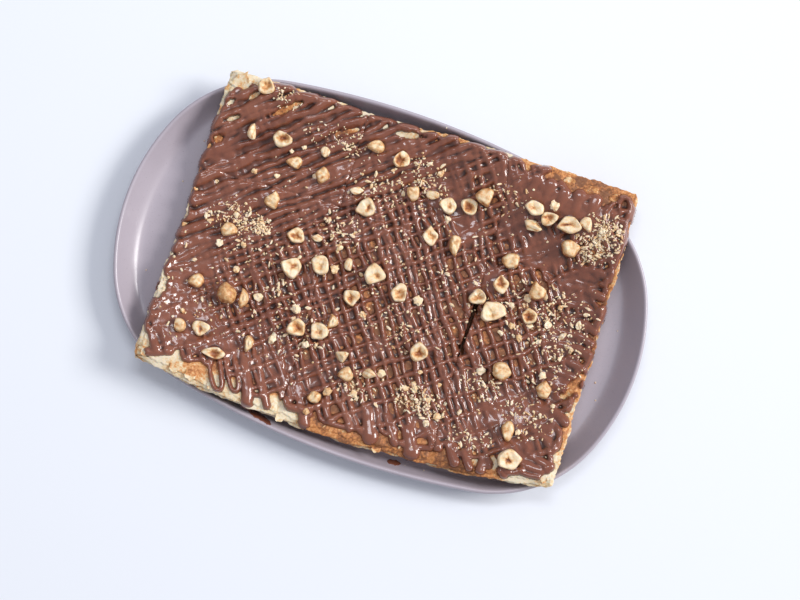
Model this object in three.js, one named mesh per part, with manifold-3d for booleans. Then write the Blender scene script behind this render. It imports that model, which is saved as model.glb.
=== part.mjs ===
// A plate of feteer: a sheet of thin layered pastry, cut into nine squares, on an oblong
// stoneware platter. Chocolate sauce is drizzled over it in two passes, and halved, broken
// and chopped hazelnuts lie on the sauce. Millimetres, +Z up, +X along the platter.
import * as THREE from "three";
import { mergeVertices } from "three/addons/utils/BufferGeometryUtils.js";
import Module from "manifold-3d";

const wasm = await Module();
wasm.setup();

// ---- Driving dimensions of the platter ----
const PLATE_LENGTH = 380.4;
const PLATE_WIDTH = 246.6;
const END_RADIUS = 150.9; // the outline's two short ends
const SIDE_RADIUS = 578; // its two long sides
const CORNER_RADIUS = 92.1; // and the four corners between them
const RIM_HEIGHT = 20;
const FLOOR_HEIGHT = 6;
const LIP = 3.6; // thickness of the rounded lip
const WALL_RUN_SIDE = 5; // how far the inner wall slopes inwards along the sides
const WALL_RUN_END = 12; // and at the ends, where it is flatter
const FOOT_INSET = 34;
const FOOT_WIDTH = 6;
const FOOT_RECESS = 1.8;
const PLATE_STATIONS = 72;

// ---- Driving dimensions of the pastry ----
const PASTRY_CORNERS = { topLeft: [-149, 103], topRight: [145, 121], bottomRight: [159, -89],
  bottomLeft: [-141, -106] };
const EDGE_BOW = { top: 0.5, right: 2, bottom: 12.5, left: 0.5 }; // how far each edge swells out
const PASTRY_THICK = 9;
const GAP = 0.3; // clearance between pieces that touch
const RAMP_END = 62; // the sheet starts to rise this far inside the platter's outline
const SIDE_LIFT = 0.36; // share of the full lift where the long edges lean on the wall
const CORNER_REACH = { topLeft: 95, topRight: 190, bottomRight: 95, bottomLeft: 135 };
const SLIT_WIDTH = 3;
const SLIT = { from: [67.8, 14], to: [69, -27] }; // the one cut that gapes open

// ---- Driving dimensions of the sauce and its chips ----
const FIRST_PASS = { turn: -52, pitch: 10.6, height: 2.1 }; // degrees from +X, and millimetres
const SECOND_PASS = { turn: 41, pitch: 14.6, height: 2.7 };
const FILM = 0.45; // thinnest sauce, between the strands
const SAUCE_DEPTH = 1.6; // how deep the sauce is sunk into the sheet
const LOBE_PITCH = 18;
const CORNER_CUT = 9; // the sauce stops this far before each corner of the sheet
const NUT_TURN = 21; // most pieces lie turned by about this much, in degrees
const CHIP_COUNT = 24;

// ---- Colours ----
const STONEWARE = { color: 0xa89ca4, roughness: 0.5, metalness: 0 };
const FETEER = { color: 0x744735, roughness: 0.35, metalness: 0 };
const HAZELNUT = { color: 0xe3c48f, roughness: 0.6, metalness: 0 };

// ---- Small helpers ----
const clamp01 = (v) => Math.min(1, Math.max(0, v));
const mix = (a, b, t) => a + (b - a) * t;
const radians = (degrees) => (degrees * Math.PI) / 180;

function smooth(v) {
  const t = clamp01(v);
  return t * t * (3 - 2 * t);
}

// A repeatable draw between 0 and 1 for a whole number.
function draw(n) {
  const s = Math.sin(n * 12.9898 + 4.1) * 43758.5453;
  return s - Math.floor(s);
}

// A gentle wander between -1 and 1 along t, different for each key.
function wander(key, t) {
  const slow = Math.sin(t * 2.1 + draw(key) * 6.28);
  const quick = Math.sin(t * 5.3 + draw(key + 0.5) * 6.28);
  return slow * 0.62 + quick * 0.38;
}

// A closed geometry as a solid that can be joined and cut.
function solid(geometry) {
  const plain = geometry.clone();
  plain.deleteAttribute("normal");
  plain.deleteAttribute("uv");
  const merged = mergeVertices(plain, 1e-4);
  const triVerts = new Uint32Array(merged.index.array);
  const vertProperties = merged.attributes.position.array;
  return new wasm.Manifold(new wasm.Mesh({ numProp: 3, vertProperties, triVerts }));
}

// The surface of a joined or cut solid, as a geometry.
function surface(made) {
  const { vertProperties, triVerts, numProp } = made.getMesh();
  const geometry = new THREE.BufferGeometry();
  geometry.setAttribute("position", new THREE.BufferAttribute(vertProperties, numProp));
  geometry.setIndex(new THREE.BufferAttribute(triVerts, 1));
  return geometry;
}

// Moves every vertex of a geometry to where place() puts it.
function reshape(geometry, place) {
  const at = geometry.attributes.position;
  const point = new THREE.Vector3();
  for (let i = 0; i < at.count; i += 1) {
    point.fromBufferAttribute(at, i);
    place(point);
    at.setXYZ(i, point.x, point.y, point.z);
  }
  return geometry;
}

// A named piece with its own material.
function piece(name, geometry, look) {
  const mesh = new THREE.Mesh(geometry, new THREE.MeshStandardMaterial(look));
  mesh.name = name;
  return mesh;
}

// ---- The platter's outline: eight arcs, each tangent to the next ----
const endCentre = new THREE.Vector2(PLATE_LENGTH / 2 - END_RADIUS, 0);
const sideCentre = new THREE.Vector2(0, PLATE_WIDTH / 2 - SIDE_RADIUS);
const cornerCentre = cornerArcCentre();

// The corner arc touches the end arc and the side arc from inside, which fixes its centre.
function cornerArcCentre() {
  const toSide = sideCentre.clone().sub(endCentre);
  const apart = toSide.length();
  const fromEnd = END_RADIUS - CORNER_RADIUS;
  const fromSide = SIDE_RADIUS - CORNER_RADIUS;
  const along = (fromEnd ** 2 - fromSide ** 2 + apart ** 2) / (2 * apart);
  const across = Math.sqrt(fromEnd ** 2 - along ** 2);
  toSide.normalize();
  return new THREE.Vector2(
    endCentre.x + toSide.x * along - toSide.y * across,
    endCentre.y + toSide.y * along + toSide.x * across,
  );
}

const endTurn = cornerCentre.clone().sub(endCentre).angle();
const sideTurn = cornerCentre.clone().sub(sideCentre).angle();

// The point of the outline whose outward direction is turn, moved inwards by inset.
function outlinePoint(turn, inset) {
  const x = Math.cos(turn);
  const y = Math.sin(turn);
  const quarterTurn = Math.atan2(Math.abs(y), Math.abs(x));
  let [centre, radius] = [cornerCentre, CORNER_RADIUS];
  if (quarterTurn < endTurn) [centre, radius] = [endCentre, END_RADIUS];
  if (quarterTurn > sideTurn) [centre, radius] = [sideCentre, SIDE_RADIUS];
  return new THREE.Vector2(
    Math.sign(x) * centre.x + x * (radius - inset),
    Math.sign(y) * centre.y + y * (radius - inset),
  );
}

// How far a point lies inside the outline; negative outside it.
function insideBy(x, y) {
  const point = new THREE.Vector2(Math.abs(x), Math.abs(y));
  const leans = (from) => cornerCentre.clone().sub(from).cross(point.clone().sub(from));
  if (leans(endCentre) < 0) return END_RADIUS - point.distanceTo(endCentre);
  if (leans(sideCentre) > 0) return SIDE_RADIUS - point.distanceTo(sideCentre);
  return CORNER_RADIUS - point.distanceTo(cornerCentre);
}

// How far the inner wall runs inwards where the outline faces turn.
function wallRun(turn) {
  return mix(WALL_RUN_SIDE, WALL_RUN_END, Math.cos(turn) ** 2);
}

// ---- The platter: a turned profile bent into the oblong outline ----
// Each profile point is [inset from the outline, height], from the middle of the underside
// round the lip to the middle of the floor.
function plateProfile() {
  const inner = LIP + WALL_RUN_SIDE;
  return [
    [PLATE_WIDTH / 2, FOOT_RECESS],
    [FOOT_INSET + FOOT_WIDTH, FOOT_RECESS],
    [FOOT_INSET + FOOT_WIDTH - 0.8, 0],
    [FOOT_INSET, 0],
    [FOOT_INSET - 2, 2.4],
    [inner + 2, 4.6],
    [LIP, 10],
    [0.2, RIM_HEIGHT - 3],
    [0.7, RIM_HEIGHT - 0.6],
    [LIP / 2, RIM_HEIGHT],
    [LIP, RIM_HEIGHT - 1.4],
    [inner - 1.6, FLOOR_HEIGHT + 3.4],
    [inner + 2.5, FLOOR_HEIGHT],
    [PLATE_WIDTH / 2, FLOOR_HEIGHT],
  ];
}

// Takes a vertex of the round turning to its place on the oblong platter.
function bendToOutline(vertex) {
  const roundRadius = PLATE_WIDTH / 2;
  const core = FOOT_INSET + FOOT_WIDTH + 8; // inside this inset everything scales to the middle
  const turn = Math.atan2(vertex.y, vertex.x);
  const inset = roundRadius - Math.hypot(vertex.x, vertex.y);
  const wallShare = clamp01((inset - LIP) / WALL_RUN_SIDE);
  const widening = (wallRun(turn) - WALL_RUN_SIDE) * wallShare;
  const bent = outlinePoint(turn, Math.min(inset, core) + widening);
  bent.multiplyScalar(Math.min(1, (roundRadius - inset) / (roundRadius - core)));
  vertex.set(bent.x, bent.y, vertex.z);
}

function makePlate() {
  const profile = plateProfile().map(([inset, height]) => {
    return new THREE.Vector2(Math.max(0, PLATE_WIDTH / 2 - inset), height);
  });
  const turned = new THREE.LatheGeometry(profile, PLATE_STATIONS);
  turned.rotateX(Math.PI / 2);
  return surface(solid(reshape(turned, bendToOutline)));
}

// ---- The sheet of pastry ----
const corner = Object.fromEntries(
  Object.entries(PASTRY_CORNERS).map(([name, [x, y]]) => [name, new THREE.Vector2(x, y)]),
);

const sheetLength = corner.bottomLeft.distanceTo(corner.bottomRight);
const sheetDepth = corner.bottomLeft.distanceTo(corner.topLeft);

// A point of one edge of the sheet at share t, from a to b, which swells out on its left.
function edgePoint(a, b, bow, key, t) {
  const along = b.clone().sub(a);
  const out = new THREE.Vector2(-along.y, along.x).normalize();
  const swell = bow * 4 * t * (1 - t) + wander(key, t * 9) * 1.1 * Math.sin(Math.PI * clamp01(t));
  return a.clone().addScaledVector(along, t).addScaledVector(out, swell);
}

// The sheet's own plan: s runs from its left edge to its right one, t from bottom to top.
function sheetPoint(s, t) {
  const { topLeft, topRight, bottomRight, bottomLeft } = corner;
  const bottom = edgePoint(bottomLeft, bottomRight, -EDGE_BOW.bottom, 11, s);
  const top = edgePoint(topLeft, topRight, EDGE_BOW.top, 12, s);
  const left = edgePoint(bottomLeft, topLeft, EDGE_BOW.left, 13, t);
  const right = edgePoint(bottomRight, topRight, -EDGE_BOW.right, 14, t);
  const flat = bottomLeft.clone().lerp(bottomRight, s).lerp(topLeft.clone().lerp(topRight, s), t);
  return bottom.lerp(top, t).add(left.lerp(right, s)).sub(flat);
}

// Height of the sheet's underside: it lies on the floor, leans on the long walls and rides
// up over the rim at its four corners.
function underside(x, y) {
  let share = SIDE_LIFT;
  for (const [name, reach] of Object.entries(CORNER_REACH)) {
    const near = 1 - corner[name].distanceTo(new THREE.Vector2(x, y)) / reach;
    share = Math.max(share, mix(SIDE_LIFT, 1, smooth(near * 1.7)));
  }
  const rise = smooth((RAMP_END - insideBy(x, y)) / (RAMP_END - 6));
  return FLOOR_HEIGHT + GAP + (RIM_HEIGHT - FLOOR_HEIGHT + 0.2) * rise * share;
}

// Height of the sheet's top, without the sauce.
function sheetTop(x, y) {
  return underside(x, y) + PASTRY_THICK + 0.35 * wander(21, x / 24) * wander(22, y / 21);
}

// The dough's layers show at the sides: bottom and middle layers reach out past the top one.
const LAYER_PUSH = [0.6, 2.2, -0.6, 1.4, -0.8];

function makeDough() {
  const block = new THREE.BoxGeometry(1, 1, 1, 19, 13, LAYER_PUSH.length - 1);
  return solid(reshape(block, (vertex) => {
    const level = vertex.z + 0.5;
    const ragged = 0.7 * wander(31 + level, vertex.x * 40 + vertex.y * 31);
    const push = LAYER_PUSH[Math.round(level * (LAYER_PUSH.length - 1))] + ragged;
    const outwards = (share) => (Math.abs(share) > 0.499 ? Math.sign(share) * push : 0);
    const s = vertex.x + 0.5 + outwards(vertex.x) / sheetLength;
    const t = vertex.y + 0.5 + outwards(vertex.y) / sheetDepth;
    const plan = sheetPoint(s, t);
    vertex.set(plan.x, plan.y, mix(underside(plan.x, plan.y), sheetTop(plan.x, plan.y), level));
  }));
}

// ---- The sauce ----
const direction = (turn) => new THREE.Vector2(Math.cos(radians(turn)), Math.sin(radians(turn)));
const firstAlong = direction(FIRST_PASS.turn);
const secondAlong = direction(SECOND_PASS.turn);

// Half the number of strands in each pass, and the place where both passes' middles meet.
const FIRST_STRANDS = 19;
const SECOND_STRANDS = 14;
const SAUCE_MIDDLE = [3, 8];

// The two passes cross nearly at right angles. A field of cells follows them, with one line of
// vertices along the top of each strand and one between each two strands.
function makeSauceField() {
  const field = new THREE.BoxGeometry(1, 1, 1, FIRST_STRANDS * 4, SECOND_STRANDS * 4, 1);
  return solid(reshape(field, (vertex) => {
    const i = Math.round(vertex.x * FIRST_STRANDS * 4);
    const j = Math.round(vertex.y * SECOND_STRANDS * 4);
    const acrossFirst = (i / 2 + 0.32 * (draw(i + 400) - 0.5)) * FIRST_PASS.pitch;
    const acrossSecond = (j / 2 + 0.32 * (draw(j + 900) - 0.5)) * SECOND_PASS.pitch;
    const bendFirst = 1.3 * wander(i * 0.13 + 41, acrossSecond / 30);
    const bendSecond = 1.3 * wander(j * 0.17 + 57, acrossFirst / 30);
    const plan = new THREE.Vector2(...SAUCE_MIDDLE)
      .addScaledVector(secondAlong, acrossFirst + bendFirst)
      .addScaledVector(firstAlong, -acrossSecond - bendSecond);
    const onFirst = i % 2 !== 0;
    const onSecond = j % 2 !== 0;
    const thick = mix(1.2, FILM, smooth((plan.x + 150) / 110)); // nearly solid on the left
    let height = thick;
    if (onFirst) height = FIRST_PASS.height * (0.75 + 0.4 * draw(i * 3.7));
    if (onSecond) height = SECOND_PASS.height * (0.7 + 0.45 * draw(j * 5.1));
    if (onFirst && onSecond) height += 0.5;
    const top = sheetTop(plan.x, plan.y);
    vertex.set(plan.x, plan.y, vertex.z > 0 ? top + height : top - SAUCE_DEPTH);
  }));
}

// How far the sauce stays back from the sheet's edge: s and t as in sheetPoint.
function bareMargin(s, t) {
  const bottomLeft = 9 * smooth(1 - Math.hypot(s * 1.4, t * 2.2) / 0.32);
  const topRight = 5 * smooth((s - 0.78) / 0.12) * smooth((t - 0.9) / 0.1);
  const topLeft = 7 * smooth(1 - Math.hypot(s - 0.08, (1 - t) * 2) / 0.14);
  const rightEdge = 3.5 * smooth((s - 0.95) / 0.05);
  return 0.6 + bottomLeft + topRight + topLeft + rightEdge;
}

// The sauce's outline: round lobes where strands turn back at the edge of the sheet.
function makeSauceOutline() {
  const walk = [];
  const around = [
    [0, 0, 1, 0], // bottom edge, from left to right: start s, t and direction s, t
    [1, 0, 0, 1],
    [1, 1, -1, 0],
    [0, 1, 0, -1],
  ];
  let lobe = 0;
  for (const [startS, startT, stepS, stepT] of around) {
    const length = sheetPoint(startS, startT)
      .distanceTo(sheetPoint(startS + stepS, startT + stepT));
    const lobes = Math.round(length / LOBE_PITCH);
    for (let n = 0; n < lobes; n += 1) {
      lobe += 1;
      const atCorner = n === 0 || n === lobes - 1;
      const swell = atCorner ? 0.8 : 0.8 + 4.6 * draw(lobe * 1.7 + 3) ** 1.5;
      for (const [share, out] of [[0.06, 0], [0.24, 0.8], [0.5, 1], [0.76, 0.8]]) {
        const cut = CORNER_CUT / length;
        const along = mix(cut, 1 - cut, (n + share) / lobes);
        const s = startS + stepS * along;
        const t = startT + stepT * along;
        const outwards = swell * out - bareMargin(s, t);
        const pastS = (stepT * outwards) / sheetLength; // out of the sheet, in its own plan
        const pastT = (-stepS * outwards) / sheetDepth;
        walk.push(sheetPoint(s + pastS, t + pastT));
      }
    }
  }
  const outline = new THREE.Shape(walk);
  return solid(new THREE.ExtrudeGeometry(outline, { depth: 60, bevelEnabled: false }));
}

// Long drops of sauce that run down to the bottom edge, along the first pass. Each entry is
// the share along the edge, how far past it the drop ends, and its radius.
const BOTTOM_DROPS = [
  [0.31, 9, 3.4], [0.34, 5, 3], [0.385, -3, 2.8], [0.445, 2, 3.2], [0.485, -1, 3], [0.525, -1.5, 3],
  [0.585, -1, 5.5], [0.64, -1, 4.2], [0.685, 1.5, 5.5], [0.72, -3, 3.5], [0.79, -1, 5],
  [0.83, 1, 3.6], [0.905, 2, 3.6], [0.96, 1, 3.2],
];
const DROP_ROOT = 16; // how far inside the edge a drop starts
const DROP_HALF_HEIGHT = 2;

function makeDrop([share, reach, radius]) {
  const edge = sheetPoint(share, 0);
  const tip = edge.clone().addScaledVector(firstAlong, reach - radius);
  const root = edge.clone().addScaledVector(firstAlong, -DROP_ROOT);
  const start = new THREE.Vector3(root.x, root.y, sheetTop(root.x, root.y) + 0.6);
  const rest = Math.max(sheetTop(edge.x, edge.y) + 0.2, RIM_HEIGHT + GAP + DROP_HALF_HEIGHT);
  const end = new THREE.Vector3(tip.x, tip.y, reach > 0 ? rest : sheetTop(tip.x, tip.y) + 0.6);
  return solid(rodBetween(start, end, radius, DROP_HALF_HEIGHT / radius));
}

// A round-ended rod from start to end, flattened upwards.
function rodBetween(start, end, radius, flat) {
  const along = end.clone().sub(start);
  const rod = new THREE.CapsuleGeometry(radius, along.length(), 2, 7, 1);
  rod.scale(1, 1, flat);
  along.normalize();
  const side = new THREE.Vector3().crossVectors(along, new THREE.Vector3(0, 0, 1)).normalize();
  const up = new THREE.Vector3().crossVectors(side, along);
  const place = new THREE.Matrix4().makeBasis(side, along, up);
  place.setPosition(start.clone().lerp(end, 0.5));
  return rod.applyMatrix4(place);
}

// Where a strand turned back and left an open loop: its tip in the sheet's own plan, its
// length and its half width.
const OPEN_LOOPS = [
  { tip: [0.206, 0.03], length: 17, half: 3.6 },
  { tip: [0.246, 0.025], length: 17, half: 3.8 },
];
const STRAND_RADIUS = 1.9;

function makeLoop({ tip, length, half }) {
  const end = sheetPoint(...tip);
  const beside = new THREE.Vector2(-firstAlong.y, firstAlong.x);
  const spot = (back, sideways) => {
    const plan = end.clone().addScaledVector(firstAlong, -back).addScaledVector(beside, sideways);
    return new THREE.Vector3(plan.x, plan.y, sheetTop(plan.x, plan.y) + 0.8);
  };
  const path = new THREE.CatmullRomCurve3([
    spot(length, half), spot(length / 2, half), spot(half * 0.6, half * 0.85), spot(0, 0),
    spot(half * 0.6, -half * 0.85), spot(length / 2, -half), spot(length, -half),
  ]);
  const section = new THREE.Shape();
  section.absellipse(0, 0, STRAND_RADIUS, STRAND_RADIUS, 0, Math.PI * 2);
  const strand = new THREE.ExtrudeGeometry(section, {
    extrudePath: path, steps: 12, curveSegments: 3, bevelEnabled: false,
  });
  return solid(strand);
}

// ---- Hazelnuts: [x, y, size across, size along] on the platter, by kind ----
const NUTS = {
  half_dome: [
    [-87, 59, 13, 8], [-92, 29, 11, 14], [-65, 57, 11, 12], [-37, 90, 13, 10], [-1, 68, 10, 11],
    [47, 83, 13, 15], [115, 70, 15, 13], [80, 48, 13, 11], [-113, -2, 12, 11], [-121, -43, 12, 11],
    [-120, -76, 10, 10], [39, 45, 9, 17], [105, 34, 12, 17], [101, -26, 13, 15], [133, -29, 12, 13],
    [0, -67, 13, 10], [-15, -90, 10, 10], [119, -64, 9, 15],
  ],
  half_open: [
    [-28, 47, 15, 13], [25, 69, 13, 11], [82, 88, 12, 10], [108, 85, 15, 12], [-62, -11, 15, 15],
    [-106, -73, 13, 10], [-44, -2, 13, 13], [-6, 5, 14, 15], [-29, -46, 13, 12], [80, 10, 17, 14],
    [126, -83, 17, 15],
  ],
  cup: [
    [-123, 100, 11, 13], [-101, 71, 13, 12], [-17, 87, 11, 12], [39, 73, 12, 11], [94, 84, 13, 10],
    [-67, 11, 12, 11], [-91, -86, 15, 8], [-44, -49, 13, 13], [-16, -15, 12, 12], [15, -1, 12, 12],
    [21, 44, 10, 14], [42, -35, 13, 14], [67, 16, 12, 11], [79, 30, 10, 13], [105, 16, 10, 12],
  ],
  crescent: [[-85, -43, 8, 15], [-70, -71, 8, 13], [-21, -36, 9, 11]],
  whole: [[-98, -44, 13, 15]],
  chip: [
    [-122, 69, 8, 13], [-69, 73, 8, 9], [-39, 56, 10, 6], [12, 73, 10, 8], [85, 76, 14, 9],
    [120, 89, 9, 12], [-54, 15, 10, 6], [-25, 5, 7, 11], [-7, -56, 10, 10], [15, -61, 10, 8],
  ],
};

// Profiles on the axis, from the middle of the base to the middle of the top, as shares of
// the nut's half width and of its height.
const NUT_PROFILES = {
  half_dome: [[0, 0], [0.9, 0], [0.94, 0.5], [0.5, 0.93], [0, 1]],
  half_open: [[0, 0], [0.6, 0.05], [1, 0.7], [0.84, 1], [0.3, 0.86], [0, 0.82]],
  cup: [[0, 0], [0.62, 0.05], [1, 0.75], [0.8, 1], [0.42, 0.62], [0, 0.5]],
  crescent: [[0, 0], [0.85, 0.05], [0.9, 0.55], [0, 1]],
  whole: [[0, 0], [0.6, 0.07], [1, 0.45], [0.8, 0.82], [0, 1]],
  chip: [[0, 0], [0.9, 0.05], [0.75, 0.85], [0, 1]],
};
const NUT_HEIGHT = { half_dome: 0.55, half_open: 0.5, cup: 0.5, crescent: 0.6, whole: 0.85, chip: 0.42 };
const NUT_SIDES = { half_dome: 7, half_open: 8, cup: 8, crescent: 8, whole: 8, chip: 6 };
const CRESCENT_BEND = 0.28; // share of its length by which a crescent bows

// A nut piece round its own base point, from its kind and its plan sizes.
function makeNut(kind, across, along, key) {
  const height = Math.min(across, along) * NUT_HEIGHT[kind] * mix(0.92, 1.08, draw(key));
  const profile = NUT_PROFILES[kind].map(([out, up]) => new THREE.Vector2(out, up));
  const turned = new THREE.LatheGeometry(profile, NUT_SIDES[kind], draw(key + 0.3) * 2);
  turned.rotateX(Math.PI / 2);
  return reshape(turned, (vertex) => {
    const turn = Math.atan2(vertex.y, vertex.x);
    const uneven = 1 + 0.06 * Math.cos(2 * turn + key) + 0.05 * Math.cos(3 * turn + key * 2);
    const bow = kind === "crescent" ? CRESCENT_BEND * along * (vertex.y ** 2 - 0.5) : 0;
    vertex.set((vertex.x * uneven * across) / 2 + bow, (vertex.y * uneven * along) / 2,
      vertex.z * height);
  });
}

// Lowers a piece from above the sauce until it would touch, and leaves it just clear.
const SETTLE_START = 6;
const SETTLE_STEP = 0.2;

function settle(mesh, feteer) {
  mesh.position.z = sheetTop(mesh.position.x, mesh.position.y) + SETTLE_START;
  const free = () => {
    mesh.updateMatrix();
    const lower = mesh.geometry.clone().applyMatrix4(mesh.matrix).translate(0, 0, -GAP);
    return feteer.intersect(solid(lower)).isEmpty();
  };
  while (free()) mesh.position.z -= SETTLE_STEP;
  mesh.position.z += SETTLE_STEP;
}

function makeNuts(feteer) {
  const meshes = [];
  for (const [kind, places] of Object.entries(NUTS)) {
    places.forEach(([x, y, across, along], n) => {
      const key = x * 0.37 + y * 0.71;
      const geometry = makeNut(kind, across, along, key);
      const mesh = piece(`${kind}_${String(n + 1).padStart(2, "0")}`, geometry, HAZELNUT);
      mesh.rotation.z = radians(NUT_TURN + 24 * (draw(key + 7) - 0.5));
      mesh.position.set(x, y, 0);
      settle(mesh, feteer);
      meshes.push(mesh);
    });
  }
  return meshes;
}

// Small chips of chopped nut, fused to the sauce where they lie; clear of the larger pieces.
// They lie thickest in a few drifts: [x, y, spread].
const CHIP_DRIFTS = [
  [112, 78, 20], [12, 80, 20], [-104, 17, 20], [88, 2, 26], [90, -60, 22], [-10, -60, 24],
  [-110, -60, 20], [0, 20, 90],
];

function makeChips() {
  const taken = Object.values(NUTS).flat();
  const chips = [];
  for (let n = 0; chips.length < CHIP_COUNT; n += 1) {
    const [x0, y0, spread] = CHIP_DRIFTS[n % CHIP_DRIFTS.length];
    const turn = draw(n * 2.3) * Math.PI * 2;
    const away = spread * Math.sqrt(draw(n * 3.1 + 5));
    const x = x0 + away * Math.cos(turn);
    const y = y0 + away * Math.sin(turn);
    const size = mix(2.6, 4.2, draw(n * 1.9 + 8));
    const free = ([nx, ny, wide, long]) => {
      return Math.hypot(x - nx, y - ny) > Math.max(wide, long) / 2 + size;
    };
    if (!taken.every(free)) continue;
    taken.push([x, y, size * 2, size * 2]);
    const chip = new THREE.OctahedronGeometry(size / 2, 0);
    chip.scale(1.25, 0.9, 1);
    chip.rotateX(draw(n) * 3);
    chip.rotateZ(draw(n + 0.5) * 6);
    chip.translate(x, y, sheetTop(x, y) + SECOND_PASS.height * 0.55);
    chips.push(solid(chip));
  }
  return chips;
}

// The one cut that gapes open: a narrow block through the whole sheet.
function makeSlit() {
  const from = new THREE.Vector2(...SLIT.from);
  const to = new THREE.Vector2(...SLIT.to);
  const along = to.clone().sub(from);
  const block = new THREE.BoxGeometry(along.length(), SLIT_WIDTH, 60);
  block.rotateZ(along.angle());
  const middle = from.lerp(to, 0.5);
  block.translate(middle.x, middle.y, 30);
  return solid(block);
}

function makeFeteer() {
  let sauce = makeSauceField().intersect(makeSauceOutline());
  for (const drop of BOTTOM_DROPS) sauce = sauce.add(makeDrop(drop));
  for (const loop of OPEN_LOOPS) sauce = sauce.add(makeLoop(loop));
  let feteer = makeDough().add(sauce).subtract(makeSlit());
  for (const chip of makeChips()) feteer = feteer.add(chip);
  return feteer;
}

// ---- The whole, with its frame's origin under the middle of its base ----
const whole = new THREE.Group();
const feteer = makeFeteer();
whole.add(piece("plate", makePlate(), STONEWARE));
whole.add(piece("feteer", surface(feteer), FETEER));
whole.add(...makeNuts(feteer));
const extent = new THREE.Box3().setFromObject(whole);
const middle = extent.getCenter(new THREE.Vector3());
whole.position.set(-middle.x, -middle.y, -extent.min.z);

export default whole;
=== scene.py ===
# %% [markdown]
# # A plate of feteer
# Feteer is a sheet of very thin dough, folded over itself in layers and baked until its
# edges flake. This one is cut into nine squares on an oblong stoneware platter, drizzled
# with milk chocolate in two passes, and strewn with halved, broken and chopped hazelnuts.
# The frame holds the measured solids, in metres; every piece below is dressed over them.

# %% Load the frame
import math

import bmesh
import bpy
import numpy as np
from mathutils import Matrix, Vector
from mathutils.bvhtree import BVHTree


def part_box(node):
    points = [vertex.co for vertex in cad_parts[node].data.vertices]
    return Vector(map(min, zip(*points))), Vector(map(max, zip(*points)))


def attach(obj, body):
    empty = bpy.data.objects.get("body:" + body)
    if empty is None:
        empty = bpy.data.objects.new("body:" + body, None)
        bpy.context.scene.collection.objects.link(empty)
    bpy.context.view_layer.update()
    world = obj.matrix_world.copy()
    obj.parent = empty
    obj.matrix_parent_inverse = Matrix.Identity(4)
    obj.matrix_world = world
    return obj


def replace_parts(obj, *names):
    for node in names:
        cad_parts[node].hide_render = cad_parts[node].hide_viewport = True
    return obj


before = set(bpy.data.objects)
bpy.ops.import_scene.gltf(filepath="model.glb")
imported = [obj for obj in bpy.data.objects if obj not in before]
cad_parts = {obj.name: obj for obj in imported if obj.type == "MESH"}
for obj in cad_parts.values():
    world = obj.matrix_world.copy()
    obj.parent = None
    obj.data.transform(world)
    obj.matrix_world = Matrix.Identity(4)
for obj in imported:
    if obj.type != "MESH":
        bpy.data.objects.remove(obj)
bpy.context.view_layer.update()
MM = 0.001
plate_low, plate_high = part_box("plate")
plate_middle = (plate_low + plate_high) / 2

# %% [markdown]
# ## Repeatable draws
# Food is uneven, but the render has to come out the same each time. A draw turns any
# number into another one between 0 and 1 in a fixed way, and a wander is a slow wave with
# a phase of its own. Both are the same formulas that shaped the measured solids, so that
# the edges here and there have the same waves.

# %% Draws, wanders and blends
def draw(n):
    wave = np.sin(np.asarray(n, float) * 12.9898 + 4.1) * 43758.5453
    return wave - np.floor(wave)


def wander(key, t):
    slow = np.sin(t * 2.1 + draw(key) * 6.28)
    quick = np.sin(t * 5.3 + draw(key + 0.5) * 6.28)
    return slow * 0.62 + quick * 0.38


def mottle(key, u, v):
    """Two wanders across each other: hills and hollows instead of waves."""
    return wander(key, u) * wander(key + 1, v)


def mix(a, b, t):
    return a + (b - a) * t


def smooth(v):
    t = np.clip(v, 0, 1)
    return t * t * (3 - 2 * t)


def bump(x, y, x0, y0, reach):
    """1 at a place, falling smoothly to 0 at reach from it."""
    return smooth(1 - np.hypot(x - x0, y - y0) / reach)


print("three draws:", [round(float(draw(n)), 3) for n in (1, 2, 3)])

# %% [markdown]
# ## The platter's outline
# The rim is neither an ellipse nor a rounded rectangle. It is eight arcs that run smoothly
# into one another: a flat arc on each long side, a rounder one at each end, and a tight
# one at each corner. An arc's parallel is an arc too, so the same rule gives every ring of
# the platter, and it says how far inside the rim a point of the pastry lies.

# %% The outline's eight arcs, in millimetres
PLATE_LENGTH = 380.4
PLATE_WIDTH = 246.6
END_RADIUS = 150.9
SIDE_RADIUS = 578.0
CORNER_RADIUS = 92.1
RIM_HEIGHT = 20.0
FLOOR_HEIGHT = 6.0
end_centre = np.array([PLATE_LENGTH / 2 - END_RADIUS, 0])
side_centre = np.array([0, PLATE_WIDTH / 2 - SIDE_RADIUS])


def corner_arc_centre():
    """The corner arc touches the end arc and the side arc from inside."""
    to_side = side_centre - end_centre
    apart = np.linalg.norm(to_side)
    from_end = END_RADIUS - CORNER_RADIUS
    from_side = SIDE_RADIUS - CORNER_RADIUS
    along = (from_end**2 - from_side**2 + apart**2) / (2 * apart)
    across = math.sqrt(from_end**2 - along**2)
    to_side = to_side / apart
    return end_centre + to_side * along + np.array([-to_side[1], to_side[0]]) * across


corner_centre = corner_arc_centre()


def pick_arc(on_end, on_side):
    """Centre and radius of the arc for each point, from where it lies."""
    centre = np.where(on_end[:, None], end_centre, corner_centre)
    centre = np.where(on_side[:, None], side_centre, centre)
    radius = np.where(on_end, END_RADIUS, CORNER_RADIUS)
    return centre, np.where(on_side, SIDE_RADIUS, radius)


def outline_point(turn, inset):
    """The outline's point that faces turn, moved inwards by inset."""
    x, y = np.cos(turn), np.sin(turn)
    quarter = np.arctan2(np.abs(y), np.abs(x))
    end_turn = math.atan2(*(corner_centre - end_centre)[::-1])
    side_turn = math.atan2(*(corner_centre - side_centre)[::-1])
    centre, radius = pick_arc(quarter < end_turn, quarter > side_turn)
    return (
        np.sign(x) * centre[:, 0] + x * (radius - inset),
        np.sign(y) * centre[:, 1] + y * (radius - inset),
    )


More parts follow.
